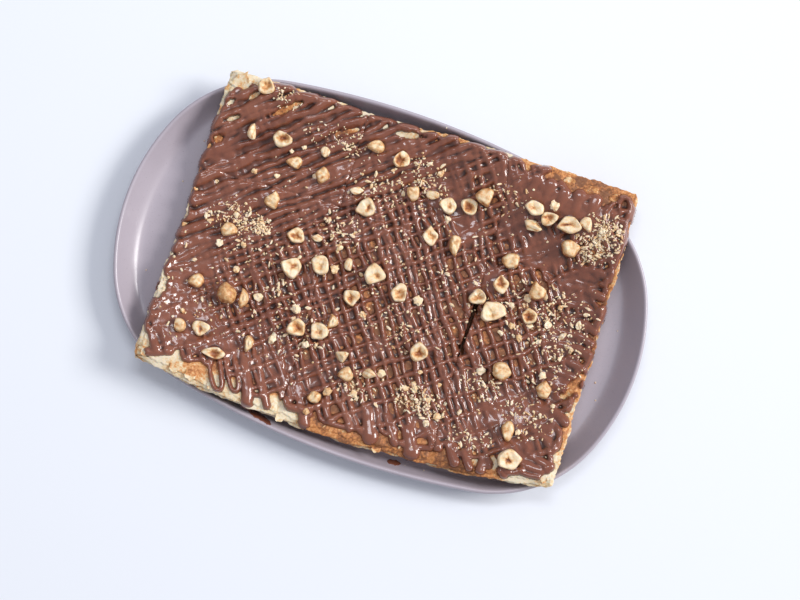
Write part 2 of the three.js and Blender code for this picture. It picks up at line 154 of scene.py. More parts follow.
def inside_by(x, y):
    """How far a point lies inside the outline; negative outside it."""
    point = np.stack([np.abs(x), np.abs(y)], axis=-1).reshape(-1, 2)

    def leans(start):
        a, b = corner_centre - start, point - start
        return a[0] * b[:, 1] - a[1] * b[:, 0]

    centre, radius = pick_arc(leans(end_centre) < 0, leans(side_centre) > 0)
    return (radius - np.linalg.norm(point - centre, axis=1)).reshape(np.shape(x))


print("corner arcs' centre:", corner_centre.round(1), "mm")

# %% [markdown]
# ## The sheet of pastry in plan
# The sheet is a slanting four-sided shape whose edges swell out a little, most of all the
# one towards the viewer. Any place on it is a share s across and a share t up. Its
# underside lies on the floor of the platter in the middle, leans on the wall along the
# long sides, and rides up over the rim at the four corners, which reach past it.

# %% The sheet's plan and heights, in millimetres
CORNERS = {"top_left": (-149, 103), "top_right": (145, 121),
           "bottom_right": (159, -89), "bottom_left": (-141, -106)}
EDGE_BOW = {"top": 0.5, "right": 2.0, "bottom": 12.5, "left": 0.5}
EDGE_WAVES = 9  # how quickly the waves follow one another along an edge
WAVE_SIZE = 1.1
CORNER_REACH = {"top_left": 95, "top_right": 190, "bottom_right": 95, "bottom_left": 135}
PASTRY_THICK = 9.0
TOP_WAVE = 0.35
# The underside rises with the wall, from RAMP_END inside the rim to RAMP_START inside it:
# by the share SIDE_LIFT along the sides, and fully, to OVER_RIM, within a corner's reach.
RAMP_END = 62.0
RAMP_START = 6
SIDE_LIFT = 0.36
CORNER_SPREAD = 1.7
OVER_RIM = 0.2
GAP = 0.3
corner = {name: np.array(place, float) for name, place in CORNERS.items()}
SHEET_LENGTH = np.linalg.norm(corner["bottom_right"] - corner["bottom_left"])
SHEET_DEPTH = np.linalg.norm(corner["top_left"] - corner["bottom_left"])
# Each edge: from, to, swell to the left of that way, and the key of its waves.
EDGES = {
    "bottom": ("bottom_left", "bottom_right", -EDGE_BOW["bottom"], 11),
    "top": ("top_left", "top_right", EDGE_BOW["top"], 12),
    "left": ("bottom_left", "top_left", EDGE_BOW["left"], 13),
    "right": ("bottom_right", "top_right", -EDGE_BOW["right"], 14),
}


def edge_swell(bow, key, t):
    """How far the edge lies outside the straight line between its corners."""
    waves = wander(key, t * EDGE_WAVES) * WAVE_SIZE
    return bow * 4 * t * (1 - t) + waves * np.sin(math.pi * np.clip(t, 0, 1))


def edge_point(edge, t):
    a, b, bow, key = EDGES[edge]
    along = corner[b] - corner[a]
    out = np.array([-along[1], along[0]]) / np.linalg.norm(along)
    t = np.asarray(t, float)[..., None]
    return corner[a] + along * t + out * edge_swell(bow, key, t)


def sheet_point(s, t):
    """The place, in plan, at share s from left to right and t from bottom to top."""
    s, t = np.broadcast_arrays(np.asarray(s, float), np.asarray(t, float))
    across, up = s[..., None], t[..., None]
    low = mix(corner["bottom_left"], corner["bottom_right"], across)
    flat = mix(low, mix(corner["top_left"], corner["top_right"], across), up)
    long_way = mix(edge_point("bottom", s), edge_point("top", s), up)
    short_way = mix(edge_point("left", t), edge_point("right", t), across)
    place = long_way + short_way - flat
    return place[..., 0], place[..., 1]


def edge_gap(x, y):
    """How far a place lies inside the sheet's nearest edge; negative outside the sheet."""
    gap = np.full(np.shape(x), 1e9)
    for a, b, bow, key in EDGES.values():
        along = corner[b] - corner[a]
        length = np.linalg.norm(along)
        along = along / length
        outwards = np.sign(bow)
        from_start = np.stack([x - corner[a][0], y - corner[a][1]], axis=-1)
        t = (from_start @ along) / length
        off = from_start @ np.array([-along[1], along[0]])
        gap = np.minimum(gap, outwards * (edge_swell(bow, key, t) - off))
    return gap


def underside(x, y):
    share = np.full(np.shape(x), SIDE_LIFT)
    for name, reach in CORNER_REACH.items():
        near = 1 - np.hypot(x - corner[name][0], y - corner[name][1]) / reach
        share = np.maximum(share, mix(SIDE_LIFT, 1, smooth(near * CORNER_SPREAD)))
    rise = smooth((RAMP_END - inside_by(x, y)) / (RAMP_END - RAMP_START))
    return FLOOR_HEIGHT + GAP + (RIM_HEIGHT - FLOOR_HEIGHT + OVER_RIM) * rise * share


def sheet_top(x, y):
    return underside(x, y) + PASTRY_THICK + TOP_WAVE * mottle(21, x / 24, y / 21)


print("the sheet is", round(float(SHEET_LENGTH)), "by", round(float(SHEET_DEPTH)), "mm")

# %% [markdown]
# ## From an operator's mesh to a finished piece
# Most pieces start as a grid, a spun profile or a ball from one of the mesh operators, and
# are then bent: every vertex is moved by a formula, all at once. Thin pieces are such a
# grid with a second one extruded above it. The formulas work in millimetres round the
# middle of the platter, and the last step turns that into metres in the frame. Each
# piece's object stays at the origin, with its place in its mesh.

# %% Making a piece
collection = bpy.context.scene.collection


def to_frame(points):
    moved = np.asarray(points, float) * MM
    moved[:, 0] += plate_middle.x
    moved[:, 1] += plate_middle.y
    return moved


def coordinates(mesh):
    flat = np.empty(len(mesh.vertices) * 3)
    mesh.vertices.foreach_get("co", flat)
    return flat.reshape(-1, 3)


def reshape(mesh, *columns):
    """Moves the vertices to new places, given as rows of points or as x, y and z."""
    points = np.stack(columns, axis=-1) if len(columns) == 3 else columns[0]
    mesh.vertices.foreach_set("co", np.asarray(points, float).ravel())
    mesh.update()


def mesh_from(name, bm):
    mesh = bpy.data.meshes.new(name)
    bm.to_mesh(mesh)
    bm.free()
    return mesh


def face_out(mesh, merge):
    """Faces the mesh outwards. With a merge distance its doubles go, and it looks smooth."""
    bm = bmesh.new()
    bm.from_mesh(mesh)
    if merge:
        bmesh.ops.remove_doubles(bm, verts=bm.verts, dist=merge)
        for face in bm.faces:
            face.smooth = True
    bmesh.ops.recalc_face_normals(bm, faces=bm.faces)
    bm.to_mesh(mesh)
    bm.free()


def show(name, mesh, material, merge=1e-4):
    """Turns a mesh in millimetres into a finished piece in the frame."""
    face_out(mesh, merge)
    reshape(mesh, to_frame(coordinates(mesh)))
    piece = bpy.data.objects.new(name, mesh)
    collection.objects.link(piece)
    mesh.materials.clear()
    mesh.materials.append(material)
    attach(piece, "root")
    return piece


def rounded(piece, levels):
    """Subdivides a piece, by as much in the view as in the render."""
    finer = piece.modifiers.new("rounded", "SUBSURF")
    finer.levels = finer.render_levels = levels


def grid(columns, rows):
    """A flat unit grid from 0 to 1 both ways."""
    bm = bmesh.new()
    bmesh.ops.create_grid(bm, x_segments=columns, y_segments=rows, size=0.5)
    bmesh.ops.translate(bm, vec=(0.5, 0.5, 0), verts=bm.verts)
    return bm


def thickened(bm):
    """The grid at level 0, joined round its border to a copy at level 1."""
    grown = bmesh.ops.extrude_face_region(bm, geom=list(bm.faces))
    lifted = [v for v in grown["geom"] if isinstance(v, bmesh.types.BMVert)]
    bmesh.ops.translate(bm, vec=(0, 0, 1), verts=lifted)
    return bm


print("the platter's middle is at", [round(v / MM, 1) for v in plate_middle], "mm")

# %% [markdown]
# ## Finishes as node trees
# A finish is a few nodes: a noise at the right scale drives colour, roughness and bump. The
# helpers add one node each and link it. What is constant in a finish stands on the
# shader's own sockets. Patterns read Object coordinates, which here are metres in the
# frame, so they stay put.

# %% Node helpers
def rgb(r, g, b):
    """A colour as seen on screen (0 to 255) as the linear light that a shader takes."""
    def linear(v):
        v /= 255
        return v / 12.92 if v <= 0.04045 else ((v + 0.055) / 1.055) ** 2.4
    return tuple(linear(v) for v in (r, g, b))


def new_material(name, constants):
    """A material and its shader, with the given values on the shader's sockets."""
    material = bpy.data.materials.new(name)
    material.use_nodes = True
    nodes = material.node_tree.nodes
    nodes.clear()
    output = nodes.new("ShaderNodeOutputMaterial")
    shader = nodes.new("ShaderNodeBsdfPrincipled")
    material.node_tree.links.new(shader.outputs["BSDF"], output.inputs["Surface"])
    for socket, value in constants.items():
        shader.inputs[socket].default_value = value
    return material, shader


def add_node(material, kind, **values):
    node = material.node_tree.nodes.new("ShaderNode" + kind)
    for key, value in values.items():
        if key in node.inputs:
            node.inputs[key].default_value = value
        else:
            setattr(node, key, value)
    return node


def link(material, source, target):
    material.node_tree.links.new(source, target)


def object_noise(material, scale, detail=3.0, roughness=0.5):
    """A noise texture on Object coordinates; scale counts features a metre."""
    where = add_node(material, "TexCoord").outputs["Object"]
    texture = add_node(material, "TexNoise", Scale=scale, Detail=detail, Roughness=roughness)
    link(material, where, texture.inputs["Vector"])
    return texture.outputs["Fac"]


def ramp(material, source, stops):
    """A colour ramp: stops are (place, colour as seen on screen)."""
    node = add_node(material, "ValToRGB")
    elements = node.color_ramp.elements
    while len(elements) < len(stops):
        elements.new(0.5)
    for element, (place, colour) in zip(elements, stops):
        element.position = place
        element.color = (*rgb(*colour), 1)
    link(material, source, node.inputs["Fac"])
    return node.outputs["Color"]


def blend(material, share, base, tint):
    """From the base to the tint, a colour as seen on screen, by the share."""
    node = add_node(material, "Mix", data_type="RGBA", blend_type="MIX")
    factor, first, second = node.inputs[0], node.inputs[6], node.inputs[7]
    link(material, share, factor)
    link(material, base, first)
    second.default_value = (*rgb(*tint), 1)
    return node.outputs[2]


def span(material, source, low, high, to_low=0.0, to_high=1.0):
    """The source's range from low to high, moved to another range and cut off there."""
    node = add_node(material, "MapRange", **{
        "From Min": low, "From Max": high, "To Min": to_low, "To Max": to_high})
    link(material, source, node.inputs["Value"])
    return node.outputs["Result"]


def add_scaled(material, source, factor, base):
    """The base plus a factor times the source."""
    node = add_node(material, "Math", operation="MULTIPLY_ADD")
    link(material, source, node.inputs[0])
    node.inputs[1].default_value = factor
    link(material, base, node.inputs[2])
    return node.outputs[0]


def attribute(material, name):
    return add_node(material, "Attribute", attribute_name=name).outputs["Fac"]


def bump_from(material, shader, *layers):
    """Layers are (height, strength, distance in metres); each adds to the one before."""
    normal = None
    for height, strength, distance in layers:
        node = add_node(material, "Bump", Strength=strength, Distance=distance)
        link(material, height, node.inputs["Height"])
        if normal:
            link(material, normal, node.inputs["Normal"])
        normal = node.outputs["Normal"]
    link(material, normal, shader.inputs["Normal"])


print("cream in linear light:", [round(v, 3) for v in rgb(232, 214, 178)])

# %% [markdown]
# ## The stoneware glaze
# The platter is stoneware with a satin grey-mauve glaze. Such a glaze has almost no
# pattern: a very faint cloudiness, fine specks of iron, and a surface that is slightly
# wavy, so that a highlight along the wall is soft and a little broken.

# %% Glaze
def make_glaze():
    material, shader = new_material("satin_glaze", {"Coat Weight": 0.35, "Coat Roughness": 0.2})
    cloud = ramp(material, object_noise(material, 14, 4), [
        (0.3, (168, 158, 166)), (0.7, (176, 166, 174))])
    specks = span(material, object_noise(material, 1900, 2, 0.4), 0.68, 0.74)
    colour = blend(material, specks, cloud, (138, 128, 134))
    link(material, colour, shader.inputs["Base Color"])
    rough = span(material, object_noise(material, 60, 3), 0.3, 0.7, 0.3, 0.4)
    link(material, rough, shader.inputs["Roughness"])
    bump_from(material, shader, (object_noise(material, 45, 2), 0.12, 0.0004),
              (object_noise(material, 900, 3), 0.06, 0.0001))
    return material


glaze = make_glaze()
print("made", glaze.name)

# %% [markdown]
# ## The platter
# A platter like this is pressed over a mould, but in plan it is a turned dish pulled into
# an oblong. So its profile is drawn once, from the middle of the foot round the lip to the
# middle of the floor, spun into a round dish, and bent: each ring takes the outline's
# arcs. The wall lies flatter at the two ends, as the broad band of light there shows.

# %% Spin the profile and bend it to the outline
LIP = 3.6
WALL_RUN_SIDE = 5.0
WALL_RUN_END = 12.0
FOOT_INSET = 34.0
FOOT_WIDTH = 6.0
FOOT_RECESS = 1.8
CORE_INSET = FOOT_INSET + FOOT_WIDTH + 8
INNER = LIP + WALL_RUN_SIDE
# [inset from the outline, height]: the foot, the outer wall, the lip, the inner side.
PLATE_PROFILE = [
    (PLATE_WIDTH / 2, FOOT_RECESS), (70, FOOT_RECESS),
    (FOOT_INSET + FOOT_WIDTH + 0.4, FOOT_RECESS), (FOOT_INSET + FOOT_WIDTH - 0.2, 1.4),
    (FOOT_INSET + FOOT_WIDTH - 0.9, 0), (FOOT_INSET + 0.6, 0), (FOOT_INSET - 1, 0.9),
    (FOOT_INSET - 2.2, 2.4), (24, 3.3), (INNER + 3, 4.4), (INNER - 2, 6.6), (LIP, 10),
    (1.4, 13.6), (0.2, RIM_HEIGHT - 3), (0, RIM_HEIGHT - 1.6), (0.5, RIM_HEIGHT - 0.5),
    (LIP / 2 - 0.3, RIM_HEIGHT), (LIP - 0.9, RIM_HEIGHT - 0.4), (LIP, RIM_HEIGHT - 1.6),
    (LIP + 1.2, RIM_HEIGHT - 5), (INNER - 1.4, FLOOR_HEIGHT + 3.2),
    (INNER + 0.2, FLOOR_HEIGHT + 0.9), (INNER + 2.6, FLOOR_HEIGHT + 0.1),
    (INNER + 7, FLOOR_HEIGHT), (50, FLOOR_HEIGHT), (PLATE_WIDTH / 2, FLOOR_HEIGHT),
]
STATIONS = 120


def bend_to_outline(points):
    x, y, z = points.T
    turn = np.arctan2(y, x)
    inset = PLATE_WIDTH / 2 - np.hypot(x, y)
    run = mix(WALL_RUN_SIDE, WALL_RUN_END, np.cos(turn) ** 2)
    widening = (run - WALL_RUN_SIDE) * np.clip((inset - LIP) / WALL_RUN_SIDE, 0, 1)
    bent_x, bent_y = outline_point(turn, np.minimum(inset, CORE_INSET) + widening)
    share = np.clip((PLATE_WIDTH / 2 - inset) / (PLATE_WIDTH / 2 - CORE_INSET), 0, 1)
    return np.stack([bent_x * share, bent_y * share, z], axis=1)


def make_platter():
    bm = bmesh.new()
    ring = [bm.verts.new((PLATE_WIDTH / 2 - inset, 0, height))
            for inset, height in PLATE_PROFILE]
    edges = [bm.edges.new(pair) for pair in zip(ring, ring[1:])]
    bmesh.ops.spin(bm, geom=ring + edges, cent=(0, 0, 0), axis=(0, 0, 1), dvec=(0, 0, 0),
                   angle=2 * math.pi, steps=STATIONS, use_merge=True)
    mesh = mesh_from("platter", bm)
    reshape(mesh, bend_to_outline(coordinates(mesh)))
    platter = show("platter", mesh, glaze, merge=1e-3)
    rounded(platter, 2)
    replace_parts(platter, "plate")
    return platter


platter = make_platter()
print("platter:", len(platter.data.polygons), "faces before smoothing")

# %% [markdown]
# ## Baked dough
# The dough is pale cream where it stayed covered or thin, and toasted brown where it
# touched the hot tray: along the right and bottom edges, in patches. Its surface is
# grainy and slightly oily. A number stored on every vertex says how toasted it is there,
# with painted shade added in the open slit, and noise breaks the change from cream to
# brown into blisters.

# %% Dough finish
def make_dough_finish():
    material, shader = new_material("baked_dough", {
        "Subsurface Weight": 0.12, "Subsurface Radius": (0.004, 0.002, 0.001)})
    patches = span(material, object_noise(material, 70, 5, 0.6), 0.25, 0.75, -0.5, 0.5)
    grain = object_noise(material, 520, 4, 0.65)
    # The stored number: how toasted the dough is, plus painted shade in the open slit.
    uneven = add_scaled(material, patches, 0.85, attribute(material, "toast_and_slit_shade"))
    fine = add_scaled(material, span(material, grain, 0.25, 0.75, -0.5, 0.5), 0.75, uneven)
    colour = ramp(material, fine, [
        (0.0, (232, 217, 188)), (0.26, (225, 198, 154)), (0.48, (216, 155, 94)),
        (0.7, (190, 121, 66)), (1.0, (128, 80, 47))])
    link(material, colour, shader.inputs["Base Color"])
    link(material, span(material, grain, 0.3, 0.7, 0.42, 0.72), shader.inputs["Roughness"])
    bump_from(material, shader, (object_noise(material, 150, 4, 0.6), 0.5, 0.0012),
              (grain, 0.45, 0.0004))
    return material


dough_finish = make_dough_finish()


def toast_at(x, y):
    """How brown the dough is at a place, from 0, cream, to 1, dark."""
    gap = edge_gap(x, y)
    inner = 0.9 * smooth((gap - 7) / 12) * smooth((x + 118) / 40)
    right = mix(0.3, 0.76, smooth((y + 46) / 50)) * smooth((x - 118) / 30)
    right = right + 0.5 * bump(x, y, 154, -52, 9)
    top_right = 0.86 * smooth(1.5 - np.hypot(x - 120, y - 116) / 48)
    bottom = 0.72 * smooth((-84 - y) / 14) * smooth((x + 38) / 26) * smooth((140 - x) / 20)
    bottom_left = 0.6 * bump(x, y, -98, -96, 24) + 0.35 * bump(x, y, -140, -100, 12)
    top = 0.62 * bump(x, y, 10, 104, 44) + 0.7 * smooth(1.4 - np.hypot(x + 112, y - 84) / 22)
    left = 0.6 * bump(x, y, -146, 40, 44)
    pale = 0.6 * bump(x, y, 150, -88, 30) + 0.5 * bump(x, y, -30, -114, 30)
    brown = np.maximum.reduce([inner, right, top_right, bottom, bottom_left, top, left])
    return np.clip(0.08 + brown - pale, 0, 1)


def store(mesh, name, values):
    """Keeps a number for every vertex, which a finish can read by its name."""
    layer = mesh.attributes.new(name, "FLOAT", "POINT")
    layer.data.foreach_set("value", np.asarray(values, np.float32))


print("toast at the top right corner:", round(float(toast_at(130.0, 110.0)), 2))

# %% [markdown]
# ## The sheet of layers
# The inside of the sheet doesn't show, so one slab carries the top and the bottom. What
# shows at the sides is a stack of thin leaves whose edges end unevenly, some reaching
# out and some curling up. Each leaf's edge is a flat band that runs all the way round
# the sheet: a grid, bent so that one way goes round the sheet and the other round the
# leaf's thin section, and closed by merging where its ends meet.

# %% Where the knife went
# Each cut is a line of places across the sheet; the second downward one stands open.
DOWN_CUTS = [[(-51, 112), (-43.5, -16), (-39, -35), (-34, -124)],
             [(50, 122), (60, 86), (64, 46), (68, 2), (68, -25), (76, -110)]]
ACROSS_CUTS = [[(-150, -50), (-65, -42), (30, -36), (125, -27), (162, -25)],
               [(-152, 32), (-60, 41), (40, 45), (152, 54)]]
SLIT = ((67.8, 14.0), (69.0, -27.0))


def cut_offset(x, y, cut, downward):
    """Signed distance from a cut, along x for a downward cut and along y for the others."""
    cut_x, cut_y = np.array(cut, float).T
    if downward:
        return x - np.interp(y, cut_y[::-1], cut_x[::-1]) - 0.5 * wander(31, y / 9)
    return y - np.interp(x, cut_x, cut_y) - 0.6 * wander(32, x / 11)


def cut_groove(x, y, half_width):
    """1 in the middle of a cut, 0 beyond its half width; fainter where the dough closed."""
    depth = np.zeros(np.shape(x))
    for number, cut in enumerate(DOWN_CUTS + ACROSS_CUTS):
        downward = number < len(DOWN_CUTS)
        away = np.abs(cut_offset(x, y, cut, downward))
        along = (y if downward else x) / 17
        open_still = smooth(0.62 + 0.6 * wander(33 + number, along))
        groove = smooth(1 - away / half_width) * mix(0.25, 1, open_still)
        depth = np.maximum(depth, groove)
    return depth


def square_of(x, y):
    """The number, 0 to 8, of the square that a place lies in."""
    column = sum((cut_offset(x, y, cut, True) > 0).astype(int) for cut in DOWN_CUTS)
    row = sum((cut_offset(x, y, cut, False) > 0).astype(int) for cut in ACROSS_CUTS)
    return column + 3 * row


def segment_distance(x, y, a, b):
    """How far a place lies from the straight line between a and b."""
    a, b = np.array(a, float), np.array(b, float)
    along = b - a
    share = np.clip(((x - a[0]) * along[0] + (y - a[1]) * along[1]) / (along @ along), 0, 1)
    return np.hypot(x - a[0] - along[0] * share, y - a[1] - along[1] * share)


print("the middle of the sheet is in square", int(square_of(np.array(0.0), np.array(0.0))))

# %% [markdown]
# ## The top of the dough
# The slab is a grid of quads with more of them near its border, where the eye sees most:
# there the dough is ragged, blistered and rough like a rind. It is thickened by an
# extrusion, and the lower side follows the platter. The open cut goes right down into it,
# and its dough is painted darker there, as shade.

# %% Slab
SLAB_COLUMNS, SLAB_ROWS = 230, 170
SLAB_ACROSS, SLAB_UP = (0.004, 0.996), (0.0055, 0.9945)  # shares of the sheet it takes up
CUT_DEPTH, CUT_HALF_WIDTH = 2.4, 2.2
SLIT_DEPTH, SLIT_REACH, SLIT_FLANK = 8.2, 3.2, 1.4
BORDER_DROP, BORDER_RISE = 1.5, 0.9  # how the top and the underside round off


def crowd(u):
    """Moves evenly spaced shares towards both ends."""
    return u - 0.075 * np.sin(2 * math.pi * u)


def roughness(x, y):
    """How rough and ragged the baked border is: most of all at the top right."""
    top_right, bottom = bump(x, y, 118, 120, 65), smooth((-90 - y) / 20)
    return 0.7 + 1.1 * top_right + 0.5 * bottom + 0.5 * smooth((x - 135) / 12)


def blister(x, y):
    """Small humps of the baked top, in millimetres."""
    coarse = mottle(61, x / 9, y / 8) * 0.35
    fine = mottle(63, x / 3.1 + y / 4, y / 2.7 - x / 5) * 0.16
    grain = mottle(65, x / 1.1 + y / 1.9, y / 1.0 - x / 1.7) * 0.34
    return coarse + (fine + grain * smooth(1 - edge_gap(x, y) / 16)) * roughness(x, y) * 1.4


def rag(s, t):
    """Moves shares near the border outwards and inwards, as torn dough ends."""
    s_gap = np.minimum(s, 1 - s) * SHEET_LENGTH
    t_gap = np.minimum(t, 1 - t) * SHEET_DEPTH
    x, y = sheet_point(s, t)
    torn_s = 0.7 * wander(51, y / 4.1) + 0.45 * wander(52, y / 1.5)
    torn_t = 0.7 * wander(53, x / 4.3) + 0.45 * wander(54, x / 1.4)
    size = roughness(x, y)
    s = s + np.sign(s - 0.5) * smooth(1 - s_gap / 5) * torn_s * size / SHEET_LENGTH
    t = t + np.sign(t - 0.5) * smooth(1 - t_gap / 5) * torn_t * size / SHEET_DEPTH
    return s, t


def make_slab():
    mesh = mesh_from("pastry_slab", thickened(grid(SLAB_COLUMNS, SLAB_ROWS)))
    u, v, level = coordinates(mesh).T
    s, t = rag(crowd(u), crowd(v))
    x, y = sheet_point(mix(*SLAB_ACROSS, s), mix(*SLAB_UP, t))
    inner = smooth(np.minimum(np.minimum(u, 1 - u) * 400, np.minimum(v, 1 - v) * 300) / 3)
    slit = smooth((SLIT_REACH - segment_distance(x, y, *SLIT)) / SLIT_FLANK)
    top = sheet_top(x, y) + blister(x, y) - CUT_DEPTH * cut_groove(x, y, CUT_HALF_WIDTH)
    top = top - BORDER_DROP * (1 - inner) - SLIT_DEPTH * slit
    low = underside(x, y) + 0.25 + BORDER_RISE * (1 - inner)
    reshape(mesh, x, y, np.where(level > 0.5, top, low))
    # Painted shade: the open slit's dough is stored half a step browner, for the shade deep in
    # the cut.
    store(mesh, "toast_and_slit_shade", toast_at(x, y) + 0.5 * slit)
    return show("pastry_slab", mesh, dough_finish)


slab = make_slab()
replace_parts(slab, "feteer")
print("slab:", len(slab.data.polygons), "faces")

# %% Leaves of dough round the edge
LEAVES = 6
LEAF_STEPS, LEAF_SIDES = 800, 10
LEAF_DEPTH = 15.0  # how far a leaf reaches into the sheet
LEAF_FILL = 0.44  # half its thickness, as a share of the room it has
MOST_PUSH = 2.6  # how far its edge may stand out
PALER = 0.55  # how much of the toast the covered leaves have


def perimeter(u):
    """The place (s, t) and the outward way (in s and t) at share u round the sheet."""
    side = np.floor(u * 4).astype(int) % 4
    f = u * 4 - np.floor(u * 4)
    zero, one = np.zeros_like(f), np.ones_like(f)
    s = np.choose(side, [f, one, 1 - f, zero])
    t = np.choose(side, [zero, f, one, 1 - f])
    out_s = np.choose(side, [zero, one, zero, -one])
    out_t = np.choose(side, [-one, zero, one, zero])
    return s, t, out_s, out_t


def make_leaf(number):
    mesh = mesh_from(f"leaf_{number}", grid(LEAF_STEPS, LEAF_SIDES))
    u, v, _ = coordinates(mesh).T
    u = u % 1.0
    s, t, out_s, out_t = perimeter(u)
    angle = v * 2 * math.pi
    along = u * 60
    ragged = 0.9 * wander(70 + number, along) + 0.5 * wander(80 + number, along * 4.3)
    ragged += 0.25 * wander(90 + number, along * 13)
    push = mix(0.9, 1.9, draw(number * 3)) * (1 if number % 2 else 0.2) + ragged
    out = np.cos(angle)
    reach = np.where(out > 0, np.minimum(push, MOST_PUSH), -LEAF_DEPTH)
    outwards = np.abs(out) ** 0.5 * reach
    x, y = sheet_point(s + out_s * outwards / SHEET_LENGTH, t + out_t * outwards / SHEET_DEPTH)
    low, top = underside(x, y), sheet_top(x, y)
    curl = 0.45 * wander(100 + number, along * 0.8) * (out > 0)
    middle = mix(low + 0.6, top - 0.75, (number + 0.5) / LEAVES) + curl
    z = middle + PASTRY_THICK / LEAVES * LEAF_FILL * np.sin(angle)
    reshape(mesh, x, y, np.maximum(z, low + 0.05))
    covered = PALER if number < LEAVES - 2 else 1
    patchy = 0.12 * wander(110 + number, along * 0.5)
    store(mesh, "toast_and_slit_shade", np.clip(toast_at(x, y) * covered + patchy, 0, 1))
    return mesh


def join_meshes(name, meshes):
    bm = bmesh.new()
    for mesh in meshes:
        bm.from_mesh(mesh)
    joined = mesh_from(name, bm)
    for mesh in meshes:
        bpy.data.meshes.remove(mesh)
    return joined


leaf_mesh = join_meshes("pastry_leaves", [make_leaf(n) for n in range(LEAVES)])
show("pastry_leaves", leaf_mesh, dough_finish)
print("leaves:", len(leaf_mesh.polygons), "faces")

# %% [markdown]
# ## Loose flakes
# Where the sheet was pulled apart, scraps of the thin dough stand up from its edges and
# corners like paper. Each is a small grid, thickened, bent along its length and torn
# unevenly round its outline, with its root in the sheet.

# %% Flakes at the edges and corners
FLAKE_THICK = 0.45
FLAKE_SINK = 0.35
# [x, y, length, width, direction in degrees, how far the tip rises]
FLAKES = [
    (-143, 92, 13, 14, 70, 1.4), (-138, 90, 10, 7, 40, 1.0), (152, -84, 6, 6, -52, 1.8),
    (147, -82, 5, 5, -20, 1.4), (-133, -101, 6, 6, -150, 1.2), (-100, -104, 6, 9, -95, 0.7),
    (-112, -104, 5, 8, -100, 0.6), (-84, -106, 5, 7, -85, 0.8), (-32, -110, 5, 7, -95, 0.8),
    (38, -107, 4, 7, -80, 0.7), (150, -43, 4, 7, 5, 0.9), (146, 27, 4, 7, 12, 0.9),
    (132, 111, 6, 9, 78, 0.9), (116, 112, 5, 8, 95, 0.8), (98, 112, 5, 9, 84, 0.7),
    (18, 104, 4, 6, 100, 0.7), (-144, 58, 4, 7, 170, 0.9), (-143, 18, 4, 7, 185, 0.8),
]


def make_flake(number, x0, y0, length, width, degrees, rise):
    mesh = mesh_from(f"flake_{number}", thickened(grid(10, 6)))
    u, v, level = coordinates(mesh).T
    turn = math.radians(degrees)
    side = v - 0.5
    torn = 1 - 0.3 * side**2 * 4 + 0.16 * wander(number * 2.2, v * 3.5)
    torn = torn + 0.07 * wander(number, v * 9)
    a = u * torn * length
    b = side * width * (1 - 0.35 * u**2 + 0.12 * wander(number * 3.7, u * 3))
    x = x0 + a * math.cos(turn) - b * math.sin(turn)
    y = y0 + a * math.sin(turn) + b * math.cos(turn)
    curl = rise * u**1.7 + 0.5 * wander(number * 1.3, side * 2.4) * u
    curl = curl + 0.5 * u * (2 * side) ** 2
    root = sheet_top(np.array([x0]), np.array([y0]))[0]
    z = np.maximum(sheet_top(x, y), root) - FLAKE_SINK + curl
    reshape(mesh, x, y, z + FLAKE_THICK * level * (1 - 0.5 * u))
    tone = 0.1 + 0.5 * toast_at(x, y) + 0.25 * wander(number * 4.1, u * 2 + v)
    store(mesh, "toast_and_slit_shade", np.clip(tone, 0, 1))
    return mesh


flake_mesh = join_meshes("pastry_flakes", [make_flake(n, *f) for n, f in enumerate(FLAKES)])
show("pastry_flakes", flake_mesh, dough_finish)
print("flakes:", len(FLAKES))

# %% [markdown]
# ## How the chocolate was drizzled
# The chocolate ran from a bottle in two passes of long zigzags: one steeply down to the
# right, one up to the right across it. Each pass is a single path here, a row of lanes
# joined by a round turn at alternate ends, as a hand does it. The lanes wander and their
# spacing and width change over the plate: broad pairs that flow together at the upper
# left, fine single threads in the middle and at the lower right.

# %% Where chocolate may lie
def sheet_share(x, y):
    """The share across and up at a place in plan, the corners alone considered."""
    s = np.full(np.shape(x), 0.5)
    low, high = corner["bottom_left"], corner["top_left"]
    low_r, high_r = corner["bottom_right"], corner["top_right"]
    for _ in range(4):
        t = (y - mix(low[1], low_r[1], s)) / mix(high[1] - low[1], high_r[1] - low_r[1], s)
        s = (x - mix(low[0], high[0], t)) / mix(low_r[0] - low[0], high_r[0] - high[0], t)
    return s, t


def bare_margin(x, y):
    """How far from the sheet's edge the chocolate stops, in millimetres."""
    s, t = sheet_share(x, y)
    strip = 4.5 + 5.0 * smooth((0.9 - s) / 0.08)
    margin = 0.5 + strip * smooth((s - 0.16) / 0.06) * smooth((0.16 - t) / 0.05)
    margin = margin + 16 * smooth(1.25 - np.hypot((s - 0.14) / 0.15, t / 0.16))
    top = smooth((s - 0.76) / 0.1) * smooth((0.99 - s) / 0.05) * smooth((t - 0.85) / 0.1)
    right = smooth((0.84 - t) / 0.1) * smooth((s - 0.9) / 0.05) * smooth((t - 0.1) / 0.1)
    margin = margin + 11.5 * top + 4 * right
    from_corner = (x - corner["top_left"][0]) * 0.73 - (y - corner["top_left"][1]) * 0.68
    return np.maximum(margin, 22 - from_corner)


def lane_axes(degrees):
    """The directions along and across a lane that is turned by so many degrees."""
    turn = math.radians(degrees)
    along = np.array([math.cos(turn), math.sin(turn)])
    return along, np.array([-along[1], along[0]])


LANE_REACH = 230  # beyond the sheet's corners


def lane_span(offset, along, across):
    """First and last place along a lane where chocolate may lie, or None."""
    r = np.arange(-LANE_REACH, LANE_REACH, 0.5)
    x, y = (across * offset + along * r[:, None]).T
    free = r[edge_gap(x, y) > bare_margin(x, y)]
    return (free[0], free[-1]) if len(free) > 10 else None


margin_there = float(bare_margin(-138.0, -102.0))
print("bare margin in the lower left corner:", round(margin_there, 1), "mm")

# %% Lanes joined into one zigzag
STEP = 0.45  # between two samples of a path
PINCH = 1.25  # how far a lane leans towards the one that it turns into
PINCH_LENGTH = 26
TURN_REACH = 3.2  # how far a round turn may stand out


